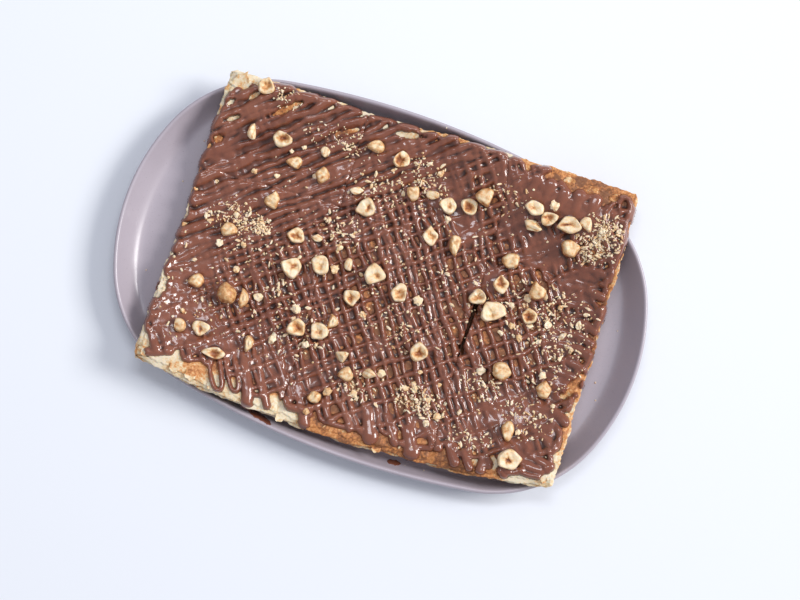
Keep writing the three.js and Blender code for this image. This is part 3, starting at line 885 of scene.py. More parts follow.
def lane_samples(number, offset, reach, axes, looks, key, overrun):
    """Samples (x, y, radius, height) along one lane, with its wander and its fat ends."""
    along, across = axes
    radius_at, height_at, side = looks
    first = reach[0] + overrun * (draw(key + (number + 1) // 2 * 1.9) - 0.62)
    last = reach[1] - overrun * (draw(key + number // 2 * 1.3) - 0.62)
    r = np.arange(first + 2, max(last - 2, first + 6), STEP)
    pinch = smooth((r - last + PINCH_LENGTH) / 24) - smooth((first + PINCH_LENGTH - r) / 24)
    lean = 0.028 * (draw(key + number * 2.9) - 0.5) * (r - (first + last) / 2)
    drift = 1.3 * wander(key + number * 1.7, r / 26) + 0.45 * wander(key + number * 2.3, r / 8)
    p = offset + drift + lean + pinch * PINCH * side * (1 if number % 2 == 0 else -1)
    x, y = (across * p[:, None] + along * r[:, None]).T
    ends = smooth(1 - np.minimum(r - first, last - r) / 9)
    thick = mix(0.72, 1.3, draw(key + number * 4.7)) + 0.24 * wander(key + number * 3.1, r / 9)
    radius = radius_at(x, y) * thick * (1 + 0.22 * ends)
    height = height_at(x, y) * mix(1, thick, 0.6) * (1 + 0.2 * ends)
    return np.stack([x, y, radius, height], axis=1)


def round_turn(end, inner, other):
    """Samples of a half circle from the end of one lane to the end of the next."""
    out = (end - inner)[:2] / np.linalg.norm((end - inner)[:2])
    middle, half = (end[:2] + other[:2]) / 2, (other[:2] - end[:2]) / 2
    turn = np.linspace(-math.pi / 2, math.pi / 2, 22)[:, None]
    bulge = min(np.linalg.norm(half), TURN_REACH)
    place = middle + half * np.sin(turn) + out * np.cos(turn) * bulge
    size = np.tile((end[2:] + other[2:]) / 2, (len(turn), 1))
    return np.concatenate([place, size], axis=1)


def zigzag(degrees, offsets, radius_at, height_at, key, overrun):
    """All samples of a pass whose lanes lie at the given offsets."""
    axes = lane_axes(degrees)
    looks = (radius_at, height_at, np.sign(offsets[1] - offsets[0]))
    lanes = []
    for offset in offsets:
        reach = lane_span(offset, *axes)
        if reach:
            lanes.append(lane_samples(len(lanes), offset, reach, axes, looks, key, overrun))
    turns = []
    for number, (lane, after) in enumerate(zip(lanes, lanes[1:])):
        end, inner = (-1, -4) if number % 2 == 0 else (0, 3)
        turns.append(round_turn(lane[end], lane[inner], after[end]))
    return np.concatenate(lanes + turns)


FIRST_TURN, SECOND_TURN = -52, 41


def banded(x, y):
    """1 at the upper left, where broad bands of the second pass hide the first."""
    _, across = lane_axes(SECOND_TURN)
    return smooth((x * across[0] + y * across[1] - 48) / 26)


def first_offsets():
    """Lanes of the first pass: close at the lower left, wider apart at the upper right."""
    offset, offsets = -172.0, []
    while offset < 186:
        offsets.append(offset)
        gap = mix(5.3, 6.5, smooth((offset + 120) / 200))
        offset += gap * (0.66 + 0.68 * draw(len(offsets) * 5.1))
    return offsets


def second_offsets():
    """Lanes of the second pass: broad bands at the upper left, then single threads."""
    offset, offsets = 171.0, []
    while offset > -166:
        offsets.append(offset)
        single = smooth((68 - offset) / 40)
        paired = 5.2 if len(offsets) % 2 else 6.8
        gap = mix(paired, mix(7.4, 11.0, smooth((10 - offset) / 60)), single)
        offset -= gap * (0.58 + 0.84 * draw(len(offsets) * 3.7))
    return offsets


# Radius and height of the strands, in millimetres, at a place in plan.
def first_radius(x, y):
    return mix(1.9, 1.8, smooth((x + 60) / 110))


def first_height(x, y):
    return mix(mix(2.6, 2.35, smooth((x + 60) / 110)), 0.9, banded(x, y))


def second_radius(x, y):
    middle = smooth(1.3 - np.hypot((x - 45) / 1.25, y + 14) / 80)
    return mix(mix(1.9, 1.35, middle), 2.55, banded(x, y))


def second_height(x, y):
    return np.minimum(0.7 + 1.05 * second_radius(x, y), 3.3)


first_path = zigzag(FIRST_TURN, first_offsets(), first_radius, first_height, 300, 4.5)
second_path = zigzag(SECOND_TURN, second_offsets(), second_radius, second_height, 400, 6.5)
print("lanes:", len(first_offsets()), "and", len(second_offsets()),
      "- samples:", len(first_path), "and", len(second_path))

# %% [markdown]
# ## Ropes of chocolate at the edges
# The lower edge lies nearest to the viewer and shows the chocolate best: two turns lie
# open on the bare dough at the left, and fat drops run to the edge and hang over it. At
# the right the strands end in round lobes and, at the upper corner, in an open loop. All
# of these are short ropes that go through a few places, sampled as the lanes are, so
# they flow into the strands. A rope with two places makes a drop.

# %% Ropes and drops as samples
# Places [x, y] along each rope, then its radius and its height.
EDGE_ROPES = [
    ([(-92, -90), (-86.5, -100), (-81.5, -107), (-77, -109), (-75.5, -105), (-80, -96),
      (-85, -87.5)], 1.9, 3.0),
    ([(-81, -87.5), (-75, -96.5), (-70, -104), (-65.5, -105.5), (-65, -101), (-70, -92),
      (-75.5, -84)], 1.9, 3.0),
    ([(-69, -81), (-61.5, -95), (-57, -105), (-56, -111)], 4.2, 3.3),
    ([(-61, -77), (-52, -91.5), (-42, -107)], 2.8, 3.2),
    ([(-52, -69), (-41, -81), (-29.5, -96)], 3.0, 3.3),
    ([(-29, -86), (-20.5, -98), (-14, -111)], 3.6, 3.3),
    ([(-9, -90), (2.5, -103.5)], 2.8, 3.2), ([(4, -86.5), (17, -101)], 3.2, 3.3),
    ([(23, -85), (32, -103)], 5.4, 3.5), ([(36, -84), (50, -101)], 3.2, 3.3),
    ([(54, -88), (63, -103)], 5.4, 3.5), ([(70, -86), (80, -94)], 3.2, 3.2),
    ([(83, -88), (93, -99)], 3.6, 3.2), ([(95, -89), (104, -99)], 3.2, 3.2),
    ([(110, -86), (111, -98)], 3.4, 3.1), ([(123, -88), (128, -96)], 2.8, 3.0),
    ([(118, -84), (130, -87), (141, -89), (151, -87)], 2.2, 3.3),
    ([(136, -74), (147, -77), (156, -78)], 3.4, 3.2),
    ([(126, -80), (140, -83), (151, -83)], 3.8, 3.2),
    ([(134, -58), (146, -60), (153, -68)], 3.2, 3.2),
    ([(132, -42), (146, -41), (155, -46)], 3.8, 3.2),
    ([(132, -22), (147, -23), (154.5, -26)], 3.4, 3.2),
    ([(132, -13), (147, -13), (155, -16)], 3.6, 3.2),
    ([(130, 5), (144, 7), (153, 5)], 3.6, 3.2), ([(134, -4), (148, -4), (154, -7)], 3.2, 3.1),
    ([(126, 14), (142, 16), (152, 13)], 3.2, 3.2),
    ([(126, 22), (142, 25), (151.5, 22)], 3.4, 3.2),
    ([(124, 34), (138, 36), (148, 32)], 3.6, 3.2),
    ([(120, 45), (134, 48), (147, 46)], 3.2, 3.1),
    ([(128, 62), (140, 63), (148, 60)], 3.2, 3.2),
    ([(128, 103), (133, 116), (139, 119), (144, 113), (143.5, 103), (146, 92), (148, 82),
      (146, 74)], 2.3, 3.8),
    ([(128, 103), (131, 96), (138, 90), (146, 84)], 2.2, 3.7),
    ([(146, 112), (148, 104)], 2.0, 3.0),
    ([(74, 96), (76, 110)], 4.4, 3.0), ([(86, 97), (86, 109)], 4.6, 3.0),
    ([(97, 94), (97, 107)], 4.6, 3.4), ([(108, 96), (107.5, 109)], 4.8, 3.4),
    ([(119, 98), (119, 110)], 4.6, 3.4),
    ([(-140, 86), (-134, 93), (-124, 98), (-112, 96)], 2.4, 3.0),
    ([(-144, 78), (-143, 88)], 2.2, 2.8),
]


def soft_line(values):
    """Rounds the corners of a line of places by averaging each with its neighbours."""
    reach = min(9, len(values) // 2)
    padded = np.pad(values, reach, "edge")
    return np.convolve(padded, np.ones(2 * reach + 1) / (2 * reach + 1), "valid")


def rope_samples():
    """Samples (x, y, radius, height) along every rope, a little fatter at its end."""
    ropes = []
    for places, radius, thickness in EDGE_ROPES:
        places = np.array(places, float)
        legs = np.linalg.norm(np.diff(places, axis=0), axis=1)
        lengths = np.concatenate([[0], np.cumsum(legs)])
        r = np.arange(0, lengths[-1], STEP)
        x, y = (soft_line(np.interp(r, lengths, line)) for line in places.T)
        swell = mix(0.82, 1.08, smooth(r / lengths[-1])) + 0.1 * wander(places[0, 0], r / 6)
        ropes.append(np.stack([x, y, radius * swell, thickness * np.sqrt(swell)], axis=1))
    return np.concatenate(ropes)


edge_path = rope_samples()
print("edge samples:", len(edge_path))

# %% [markdown]
# ## Chocolate as a surface
# Melted chocolate flows together, so the strands can't be loose tubes. Their paths are
# pressed into a fine lattice of heights instead, each sample as a round hump. Where
# strands lie close, the gap between them fills with a film; where they are sparse, the
# film ends and the dough shows as small windows. Then everything is softened a little.
# The lattice is turned to run with the strands, so that their flanks stay clean.

# %% The lattice of heights
PITCH = 0.6
LATTICE = 627
ROUNDNESS = 0.44  # 0.5 would be a half circle; less is fuller
along_first, across_first = lane_axes(FIRST_TURN)
lattice_middle = np.array([3.0, 8.0])
steps = (np.arange(LATTICE) - (LATTICE - 1) / 2) * PITCH
across_steps, along_steps = np.meshgrid(steps, steps, indexing="ij")
lattice_x = lattice_middle[0] + across_first[0] * across_steps + along_first[0] * along_steps
lattice_y = lattice_middle[1] + across_first[1] * across_steps + along_first[1] * along_steps


def lattice_position(x, y):
    """Column and row of places in plan, with their fractions."""
    dx, dy = x - lattice_middle[0], y - lattice_middle[1]
    return [(dx * way[0] + dy * way[1]) / PITCH + (LATTICE - 1) / 2
            for way in (across_first, along_first)]


def press(path):
    """A field of heights with each sample of a path pressed in as a round hump."""
    field = np.zeros((LATTICE, LATTICE))
    x, y, radius, height = path.T
    column, row = lattice_position(x, y)
    reach = int(radius.max() / PITCH) + 2
    near_column, near_row = np.round(column).astype(int), np.round(row).astype(int)
    for i in range(-reach, reach + 1):
        for j in range(-reach, reach + 1):
            away = np.hypot(near_column + i - column, near_row + j - row) * PITCH / radius
            hump = height * np.clip(1 - away**2, 0, None) ** ROUNDNESS
            inside = (away < 1) & (near_column + i >= 0) & (near_column + i < LATTICE)
            inside &= (near_row + j >= 0) & (near_row + j < LATTICE)
            np.maximum.at(field, (near_column[inside] + i, near_row[inside] + j), hump[inside])
    return field


def soften(field, sigma):
    """A Gaussian blur, sigma in millimetres."""
    reach = int(sigma / PITCH * 3) + 1
    taps = np.exp(-0.5 * (np.arange(-reach, reach + 1) * PITCH / sigma) ** 2)
    taps /= taps.sum()
    for axis in (0, 1):
        widths = [(reach, reach) if a == axis else (0, 0) for a in (0, 1)]
        padded = np.pad(field, widths, "edge")
        length = field.shape[axis]
        field = sum(tap * np.take(padded, range(k, k + length), axis)
                    for k, tap in enumerate(taps))
    return field


def soft_max(a, b, width):
    """The larger of two heights, rounded where they come within the width."""
    share = np.clip(0.5 + 0.5 * (b - a) / width, 0, 1)
    return mix(a, b, share) + width * share * (1 - share)


first_field, second_field, edge_field = map(press, (first_path, second_path, edge_path))
covered = float((np.maximum(first_field, second_field) > 0).sum()) * PITCH**2 / 100
print("strands cover", round(covered), "square centimetres")

# %% [markdown]
# ## Film, windows, beds and cuts
# The film is deepest in pools: at the left, where nearly everything has flowed together,
# and along the right of the top edge. The middle and the lower right stay open. Under
# each piece of nut the chocolate is level, in a bed a little narrower than the nut. The
# knife pushed the nine squares about a little, its cuts sink the chocolate, and one of
# them stands open as a dark slit.

# %% Where pools, bare patches and nuts are
nut_kinds = ("half_dome", "half_open", "cup", "crescent", "whole", "chip")
nut_names = sorted(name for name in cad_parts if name.rsplit("_", 1)[0] in nut_kinds)


def plan_box(name):
    """Lowest and highest corner of a node in millimetres round the platter's middle."""
    low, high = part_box(name)
    shift = Vector((plate_middle.x, plate_middle.y, 0))
    return np.array((low - shift) / MM), np.array((high - shift) / MM)


# Where the chocolate flowed together into smooth pools: [x, y, reach, extra depth].
POOLS = [
    (-131, -33, 22, 1.7), (-127, -72, 24, 1.9), (-108, -80, 24, 1.8), (-122, 14, 16, 1.3),
    (-84, -86, 16, 1.4), (-63, -60, 12, 1.1), (-50, -76, 15, 1.2), (-22, -84, 15, 1.1),
    (-136, 48, 12, 1.4), (-112, 62, 16, 0.9), (-92, 80, 14, 0.8), (-64, 62, 14, 0.8),
    (-30, 84, 16, 1.1), (10, 92, 16, 1.2), (42, 57, 10, 1.7), (33, 66, 8, 1.4),
    (60, 108, 16, 1.8), (86, 99, 16, 2.0), (112, 104, 20, 2.1), (128, 100, 13, 1.1),
    (72, 76, 11, 1.6), (98, 62, 14, 1.6), (72, 31, 9, 1.8), (64, 22, 6, 1.8),
    (131, 48, 13, 1.7), (118, -52, 14, 1.7), (140, -50, 12, 1.8), (104, -60, 12, 1.5),
    (97, -84, 12, 1.4), (132, -80, 13, 1.6), (140, -20, 12, 1.7), (30, -92, 12, 1.5),
    (66, -90, 14, 1.5), (-21, -42, 10, 1.0), (-60, 4, 8, 1.2), (12, -42, 8, 1.1),
    (-88, 20, 11, 0.9), (130, 8, 10, 1.4), (-30, 30, 8, 1.2), (22, 74, 14, 1.3),
    (-6, -64, 8, 1.1), (-100, -40, 10, 1.0), (80, -44, 8, 1.0), (2, 22, 6, 1.0),
    (44, -28, 6, 1.1), (-46, -14, 7, 1.0),
]
CALM_POOL, DEEP_POOL = 1.25, 1.95  # from which extra depth on a pool swallows strands
# Where the dough stays bare: [x, y, half length, half width, direction in degrees].
BARE_PATCHES = [
    (-103.9, 91.1, 15, 2.5, 43), (-141.8, 55, 4.5, 2.6, 40), (-142, 81.5, 4, 1.8, 52),
    (-137, 71.5, 7, 1.9, 38), (-19, 105.5, 12, 2.6, 12), (-57, 93.5, 8, 1.7, 30),
    (128.5, 117.5, 4.5, 2.0, -60), (-138.2, -104.0, 6, 4, 60), (129.9, 116.6, 5.5, 3.0, -58),
    (-146, -2, 4, 2.2, 70), (60, 2, 5, 2.2, -52), (61, -12, 5, 2.2, -52),
    (54.5, 6, 5, 1.9, -52), (150, -20, 14, 4, 74), (-150, -30, 6, 1.6, 75),
    (-33, -107, 10, 4.5, -52), (-142, -56, 9, 4, 84), (-128, 92, 5, 2, 50),
    (100, 47, 4, 2.4, -52), (107, 40, 5, 2.4, -52),
]
print(len(nut_names), "nuts,", len(POOLS), "pools,", len(BARE_PATCHES), "bare patches")

# %% Height of the chocolate above the dough
OVERLAP = 0.35  # how much of the lower strand adds to the upper one where they cross
CALM = 0.42  # how much of a strand's height is lost in the deepest pool
FILM_MOST = 2.3
NO_FILM, NO_STRAND, BARE = -1.4, -0.9, -1.3  # heights that stand for none, all below 0


def flood(x, y):
    """Extra film where the strands have flowed together, in millimetres."""
    depth = 0.3 * smooth((-30 - x - 0.25 * y) / 60) + 0.25 * banded(x, y)
    for x0, y0, reach, extra in POOLS:
        depth = np.maximum(depth, extra * smooth(1.7 - 1.1 * np.hypot(x - x0, y - y0) / reach))
    depth = depth + 0.32 * smooth((x - 84) / 30)
    depth = depth - 0.45 * bump(x, y, 60, -8, 30) - 0.2 * bump(x, y, 14, 16, 36)
    uneven = 0.8 * mottle(501, x / 13 + y / 31, y / 11 - x / 37)
    return depth + uneven + 0.8 * mottle(503, x / 5 + y / 9, y / 4.3 - x / 8)


def calm(x, y):
    """1 where a deep pool has swallowed the strands, 0 away from it."""
    share = np.zeros(np.shape(x))
    for x0, y0, reach, extra in POOLS:
        if extra > CALM_POOL:
            near = smooth(1.7 - 1.2 * np.hypot(x - x0, y - y0) / reach)
            share = np.maximum(share, near * (1 if extra > DEEP_POOL else 0.45))
    return share


def patch_of(x, y, patch):
    """1 well inside a bare patch, 0 outside it."""
    x0, y0, half_long, half_wide, degrees = patch
    along, across = lane_axes(degrees)
    dx, dy = x - x0, y - y0
    u = (dx * along[0] + dy * along[1]) / half_long
    v = (dx * across[0] + dy * across[1]) / half_wide
    edge = 1 + 0.18 * wander(x0, u * 4) + 0.12 * wander(y0, v * 5)
    return smooth((edge - np.hypot(u, v)) * 3)


def strand_height(x, y):
    """Both passes and the ropes, each strand a little uneven along its run."""
    first = first_field * (1 + 0.32 * mottle(511, x / 6 + y / 13, y / 7 - x / 11))
    second = second_field * (1 + 0.22 * wander(513, x / 8 - y / 9))
    strands = np.maximum(first, second) + OVERLAP * np.minimum(first, second)
    strands = soft_max(strands * (1 - CALM * calm(x, y)), edge_field, 0.3) - 0.075
    return np.where(strands > 0.02, strands, NO_STRAND)


def film_height(x, y):
    """The film between close strands; it thins out towards the sheet's edges."""
    cover = soften(np.minimum(first_field, 1.6) + 0.8 * np.minimum(second_field, 1.6), 2.4)
    film = np.clip((cover - 1.12) * 1.1, -1.1, 0.35) + flood(x, y)
    s, _ = sheet_share(x, y)
    near_end = [smooth(1 - share * SHEET_LENGTH / 16) for share in (s, 1 - s)]
    near_end = np.maximum.reduce([*near_end, bump(x, y, 118, 112, 44)])
    inland = smooth((edge_gap(x, y) - bare_margin(x, y) - 0.6) / mix(8, 2.6, near_end))
    film = np.where(cover > 0.35, mix(NO_FILM, film, inland), NO_FILM)
    return np.minimum(soften(film, 0.9), FILM_MOST)


film, strands = film_height(lattice_x, lattice_y), strand_height(lattice_x, lattice_y)
height = soft_max(film, strands, 0.4)
for patch in BARE_PATCHES:
    height = mix(height, BARE, patch_of(lattice_x, lattice_y, patch))
height = soften(height, 0.36)
print("the film is", round(float(film.max()), 1), "mm deep at most")

# %% Squares pushed about, the open slit and the nuts' beds
SLIT_HALF_WIDTH, SLIT_LEVEL = 1.5, -1.5
BED_MARGIN, BED_FLANK = 0.3, 1.6  # how much narrower than its nut a bed is, and its slope
# How far each of the nine squares has moved, in columns and rows of the lattice.
SQUARE_SHIFTS = np.array([[2, -1], [0, 1], [-1, 2], [1, 0], [0, 0], [-2, -1], [1, 2], [-1, 0],
                          [0, -2]])


def slip(field, square):
    """The field with the pattern of each square moved by the square's shift."""
    columns, rows = np.indices(field.shape)
    columns = np.clip(columns + SQUARE_SHIFTS[square, 0], 0, LATTICE - 1)
    rows = np.clip(rows + SQUARE_SHIFTS[square, 1], 0, LATTICE - 1)
    return field[columns, rows]


square = square_of(lattice_x, lattice_y)
height = soften(slip(height, square), 0.3)
slit_away = segment_distance(lattice_x, lattice_y, *SLIT)
slit_away = slit_away + 0.25 * wander(41, lattice_y / 5) + 0.02 * (SLIT[0][1] - lattice_y)
height = np.where(slit_away < SLIT_HALF_WIDTH, SLIT_LEVEL, height)
for name in nut_names:
    low_corner, high_corner = plan_box(name)
    x0, y0 = ((low_corner + high_corner) / 2)[:2]
    reach = (high_corner - low_corner)[:2].mean() / 2
    away = np.hypot(lattice_x - x0, lattice_y - y0)
    bed = smooth((reach - BED_MARGIN - away) / BED_FLANK)
    level = low_corner[2] + 0.5 - sheet_top(np.array([x0]), np.array([y0]))[0]
    height = mix(height, np.maximum(level, 0.3), bed * 0.9)
print("chocolate over the dough:", round(float(height.max()), 1), "mm at most")

# %% [markdown]
# ## The chocolate as closed pieces
# The heights shape the upper of two grids, the other lies inside the dough, and both are
# joined round the border of the chocolate. The knife's downward cuts part it in three
# pieces. Each piece is thinned out where it is nearly flat, as its strands need most of
# the triangles. Every vertex keeps how deep it lies below its surroundings, which sets
# the painted shade in its hollows.

# %% The chocolate's surface becomes closed pieces
HANG, HANG_REACH, HANG_START = 5.5, 4.2, 1.2  # how far down, over what length, from where
CUT_SINK, CUT_SINK_HALF_WIDTH = 0.9, 1.9
INTO_DOUGH, LEAST_THICK = 4.6, 1.2
LEAST_HEIGHT, MOST_OVERHANG = -0.25, 3.0  # where the chocolate ends
# How wide round a place, and how far below it, a hollow must be for the full painted shade.
PAINTED_SHADE_REACH, PAINTED_SHADE_FULL = 1.5, 0.8
KEPT_SHARE = 0.4  # of the triangles


def drape(gap):
    """How far the chocolate hangs down beyond the dough's edge."""
    past = np.clip(HANG_START - gap, 0, None)
    round_off = 1 - np.sqrt(np.clip(1 - (past / HANG_REACH) ** 2, 0, 1))
    return HANG * round_off + 0.5 * past


def decimated(mesh, ratio, name):
    """The mesh with fewer triangles, spent where the form needs them."""
    holder = bpy.data.objects.new("holder", mesh)
    collection.objects.link(holder)
    fewer = holder.modifiers.new("fewer", "DECIMATE")
    fewer.ratio = ratio
    holder_view = holder.evaluated_get(bpy.context.evaluated_depsgraph_get())
    slim = bpy.data.meshes.new_from_object(holder_view)
    bpy.data.objects.remove(holder)
    bpy.data.meshes.remove(mesh)
    slim.name = name
    return slim


gap_to_edge = edge_gap(lattice_x, lattice_y)
dough_top = sheet_top(lattice_x, lattice_y)
chocolate_top = dough_top + height - drape(gap_to_edge)
chocolate_top = chocolate_top - CUT_SINK * cut_groove(lattice_x, lattice_y, CUT_SINK_HALF_WIDTH)
chocolate_bottom = np.minimum(dough_top - INTO_DOUGH, chocolate_top - LEAST_THICK)
has_chocolate = (height > LEAST_HEIGHT) & (gap_to_edge > -MOST_OVERHANG)
# Painted shade: how far each place lies below its softened surroundings; the chocolate is
# coloured darker there.
hollow = np.clip((soften(height, PAINTED_SHADE_REACH) - height) / PAINTED_SHADE_FULL, 0, 1)


def lattice_spot(points):
    """Column and row of the lattice for points of the unit grid."""
    return np.round(points[:, :2] * (LATTICE - 1)).astype(int).T


def make_chocolate_mesh(name, wanted_column):
    bm = grid(LATTICE - 1, LATTICE - 1)
    column, row = lattice_spot(np.array([v.co[:2] for v in bm.verts]))
    keep, part = has_chocolate[column, row], square[column, row] % 3
    spare = [face for face in bm.faces
             if part[face.verts[0].index] != wanted_column
             or not any(keep[v.index] for v in face.verts)]
    bmesh.ops.delete(bm, geom=spare, context="FACES")
    mesh = mesh_from(name, thickened(bm))
    points = coordinates(mesh)
    spot = tuple(lattice_spot(points))
    z = np.where(points[:, 2] > 0.5, chocolate_top[spot], chocolate_bottom[spot])
    reshape(mesh, lattice_x[spot], lattice_y[spot], z)
    # The painted shade in the hollows, kept on every vertex.
    store(mesh, "hollow", hollow[spot])
    return mesh


drizzle_names = ("drizzle_left", "drizzle_middle", "drizzle_right")
drizzle_meshes = [decimated(make_chocolate_mesh(name, number), KEPT_SHARE, name)
                  for number, name in enumerate(drizzle_names)]
print("faces:", [len(mesh.polygons) for mesh in drizzle_meshes])

# %% [markdown]
# ## Milk chocolate
# Soft milk chocolate is a smooth mid brown that scatters a little light below its
# surface, so its thin edges look warmer. It is glossy while warm: small sharp highlights
# on every ridge, from a low roughness and a thin coat, broken by a faint waviness. The
# hollows between the strands get painted shade, a darker colour by the number on every
# vertex, and they are duller.

# %% Chocolate finish
def make_chocolate_finish():
    material, shader = new_material("milk_chocolate", {
        "Subsurface Weight": 0.12, "Subsurface Radius": (0.0016, 0.0008, 0.0005),
        "Coat Weight": 0.5, "Coat Roughness": 0.07})
    cloud = object_noise(material, 40, 3)
    crest = ramp(material, cloud, [(0.3, (124, 71, 52)), (0.7, (139, 84, 62))])
    # Painted shade: the hollows are blended towards a dark brown where shade falls; they are
    # also rougher.
    deep = attribute(material, "hollow")
    link(material, blend(material, deep, crest, (60, 29, 18)), shader.inputs["Base Color"])
    fine = span(material, object_noise(material, 180, 3), 0.3, 0.7, 0.13, 0.24)
    link(material, add_scaled(material, deep, 0.3, fine), shader.inputs["Roughness"])
    bump_from(material, shader, (object_noise(material, 320, 3), 0.12, 0.0004))
    return material


chocolate = make_chocolate_finish()
for mesh in drizzle_meshes:
    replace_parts(show(mesh.name, mesh, chocolate), "feteer")
print("chocolate in", len(drizzle_meshes), "pieces")

# %% [markdown]
# ## Hazelnuts
# A hazelnut is a rounded drop with a small tip, and it splits easily into two halves. The
# halves lie either way up: round side up they are smooth domes, cut side up they show a
# hollow with a toasted rim. Roasting browns the rims and the bottom of the hollow, and
# leaves the flesh cream. Each piece here starts as a ball, whose upper and lower half take
# the profile of its kind, and it keeps the place and the size of its measured solid.

# %% Hazelnut finish
def make_nut_finish():
    material, shader = new_material("roasted_hazelnut", {
        "Subsurface Weight": 0.18, "Subsurface Radius": (0.0025, 0.0014, 0.0007)})
    cloud = span(material, object_noise(material, 330, 3, 0.55), 0.3, 0.7, -0.2, 0.2)
    grain = object_noise(material, 1500, 3, 0.6)
    roast = add_scaled(material, cloud, 1, attribute(material, "roast"))
    colour = ramp(material, roast, [
        (0.0, (244, 226, 196)), (0.25, (235, 206, 162)), (0.45, (217, 166, 110)),
        (0.7, (168, 104, 62)), (1.0, (92, 50, 32))])
    link(material, colour, shader.inputs["Base Color"])
    link(material, span(material, grain, 0.3, 0.7, 0.34, 0.52), shader.inputs["Roughness"])
    bump_from(material, shader, (object_noise(material, 420, 3), 0.3, 0.0005),
              (grain, 0.3, 0.00015))
    return material


nut_finish = make_nut_finish()
print("made", nut_finish.name)

# %% Place, size and turn of a nut from its solid
def nut_place(name):
    """Centre, directions and half sizes in plan, and lowest and highest point, in mm."""
    points = coordinates(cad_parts[name].data) / MM
    points[:, 0] -= plate_middle.x / MM
    points[:, 1] -= plate_middle.y / MM
    plan, heights = points[:, :2], points[:, 2]
    across, along = np.linalg.eigh(np.cov((plan - plan.mean(axis=0)).T))[1].T
    sizes = []
    centre = np.zeros(2)
    for way in (along, across):
        reach = plan @ way
        sizes.append((reach.max() - reach.min()) / 2)
        centre += way * (reach.max() + reach.min()) / 2
    return centre, along, across, *sizes, heights.min(), heights.max()


whole_sizes = [round(float(v), 1) for v in nut_place("whole_01")[3:]]
print("the whole nut's half sizes, lowest and highest point:", whole_sizes)

# %% Upper profile of each kind
def dome_of(rho):
    """A ball's height over its plan, 1 in the middle and 0 at the rim."""
    return np.sqrt(np.clip(1 - rho**2, 0, 1))


def ring(rho, at, width):
    """1 on the circle at the share `at` of the radius, falling to 0 at width from it."""
    return smooth(1 - np.abs(rho - at) / width)


# [hollow's length and width as shares of the nut's, its depth, extra brown in it]
HOLLOWS = {"half_open": (0.4, 0.26, 0.3, 0), "cup": (0.6, 0.5, 0.62, 0.1)}


def hollow_form(kind, a, b, key, shift, lean, patchy):
    """(height, roast) of a half whose cut side shows, with its toasted hollow."""
    length, width, deep, browner = HOLLOWS[kind]
    length, width = length * mix(0.8, 1.25, draw(key + 3)), width * mix(0.7, 1.2, draw(key + 4))
    rho, turn = np.hypot(a, b), np.arctan2(b, a)
    skew = key * 3.1
    u = (a - shift[0]) * math.cos(skew) + (b - shift[1]) * math.sin(skew)
    v = (b - shift[1]) * math.cos(skew) - (a - shift[0]) * math.sin(skew)
    away = np.hypot(u / length, v / width)
    away = away * (1 + 0.22 * wander(key, turn * 1.5) + 0.12 * wander(key + 5, turn * 4))
    edge = smooth((rho - 0.9) / 0.1)
    height = 0.84 + lean - 0.14 * smooth(1 - rho / 0.8) - deep * smooth(1.15 - away)
    height = height - 0.5 * edge + 0.1 * wander(key + 4, a * 3 + b)
    brown = mix(0.1, 0.5, draw(key + 12) ** 2) + browner
    roast = 0.18 + 0.14 * smooth(1 - away / 2.2) + brown * smooth((1.25 - away) * 1.2)
    roast = roast + 0.16 * smooth((0.4 - away) / 0.3) * (draw(key + 13) > 0.5)
    return height, roast + 0.07 * edge + 0.24 * patchy


def upper_form(kind, a, b, key):
    """(height, roast) of the upper side at places a along and b across, both -1 to 1."""
    rho, turn = np.hypot(a, b), np.arctan2(b, a)
    dome = dome_of(rho)
    lean = 0.2 * (a * math.cos(key * 5) + b * math.sin(key * 5))
    patchy = mottle(key + 5, a * 1.3 + b * 1.9, b * 1.6 - a * 1.1)
    shift = 0.4 * (draw(key + 1) - 0.5), 0.4 * (draw(key + 2) - 0.5)
    if kind in HOLLOWS:
        height, roast = hollow_form(kind, a, b, key, shift, lean, patchy)
    elif kind == "crescent":
        height = dome**0.8 * (1 - 0.3 * smooth(1 - np.abs(rho - 0.35) / 0.3))
        roast = 0.28 + 0.2 * ring(rho, 0.85, 0.25) + 0.15 * patchy
    elif kind == "whole":
        height = dome
        roast = 0.5 + 0.1 * np.cos(turn * 9 + key) * rho
    else:
        flats = np.minimum(dome**0.8, 0.84 + lean * 1.3 + 0.1 * wander(key + 4, a * 2 - b))
        height = flats + 0.04 * wander(key + 7, a * 4 - b * 3)
        roast = 0.2 + 0.22 * smooth(0.5 + patchy) + 0.16 * smooth((rho - 0.6) / 0.4)
        roast = roast + 0.2 * bump(a, b, shift[0] * 2, shift[1] * 2, 0.35)
    return height / max(height.max(), 1e-6), roast


def faceted(directions, key):
    """How far the surface lies from the middle each way: flat faces, as broken nut has."""
    reach = np.full(len(directions), 1.35)
    for k in range(9):
        turn, rise = draw(key + k * 1.7) * 2 * math.pi, draw(key + k * 2.9) * 2 - 1
        flat = math.sqrt(1 - rise**2)
        facing = directions @ np.array([math.cos(turn) * flat, math.sin(turn) * flat, rise])
        depth = mix(0.62, 1.0, draw(key + k * 4.3))
        reach = np.minimum(reach, depth / np.clip(facing, 0.3, None))
    return reach


chip_reach = faceted(np.eye(3), 50.0)
print("a chip reaches", chip_reach.round(2), "along the three axes, where a ball reaches 1")

# %% Build the nuts
NUT_SINK = 1.1  # how far a nut's underside reaches into the chocolate, in mm
NUT_GROWTH = 1.14  # the solids' few sides cut their corners; the real outline is rounder
TIP = 0.2  # how far the tip stands out, as a share of the half length


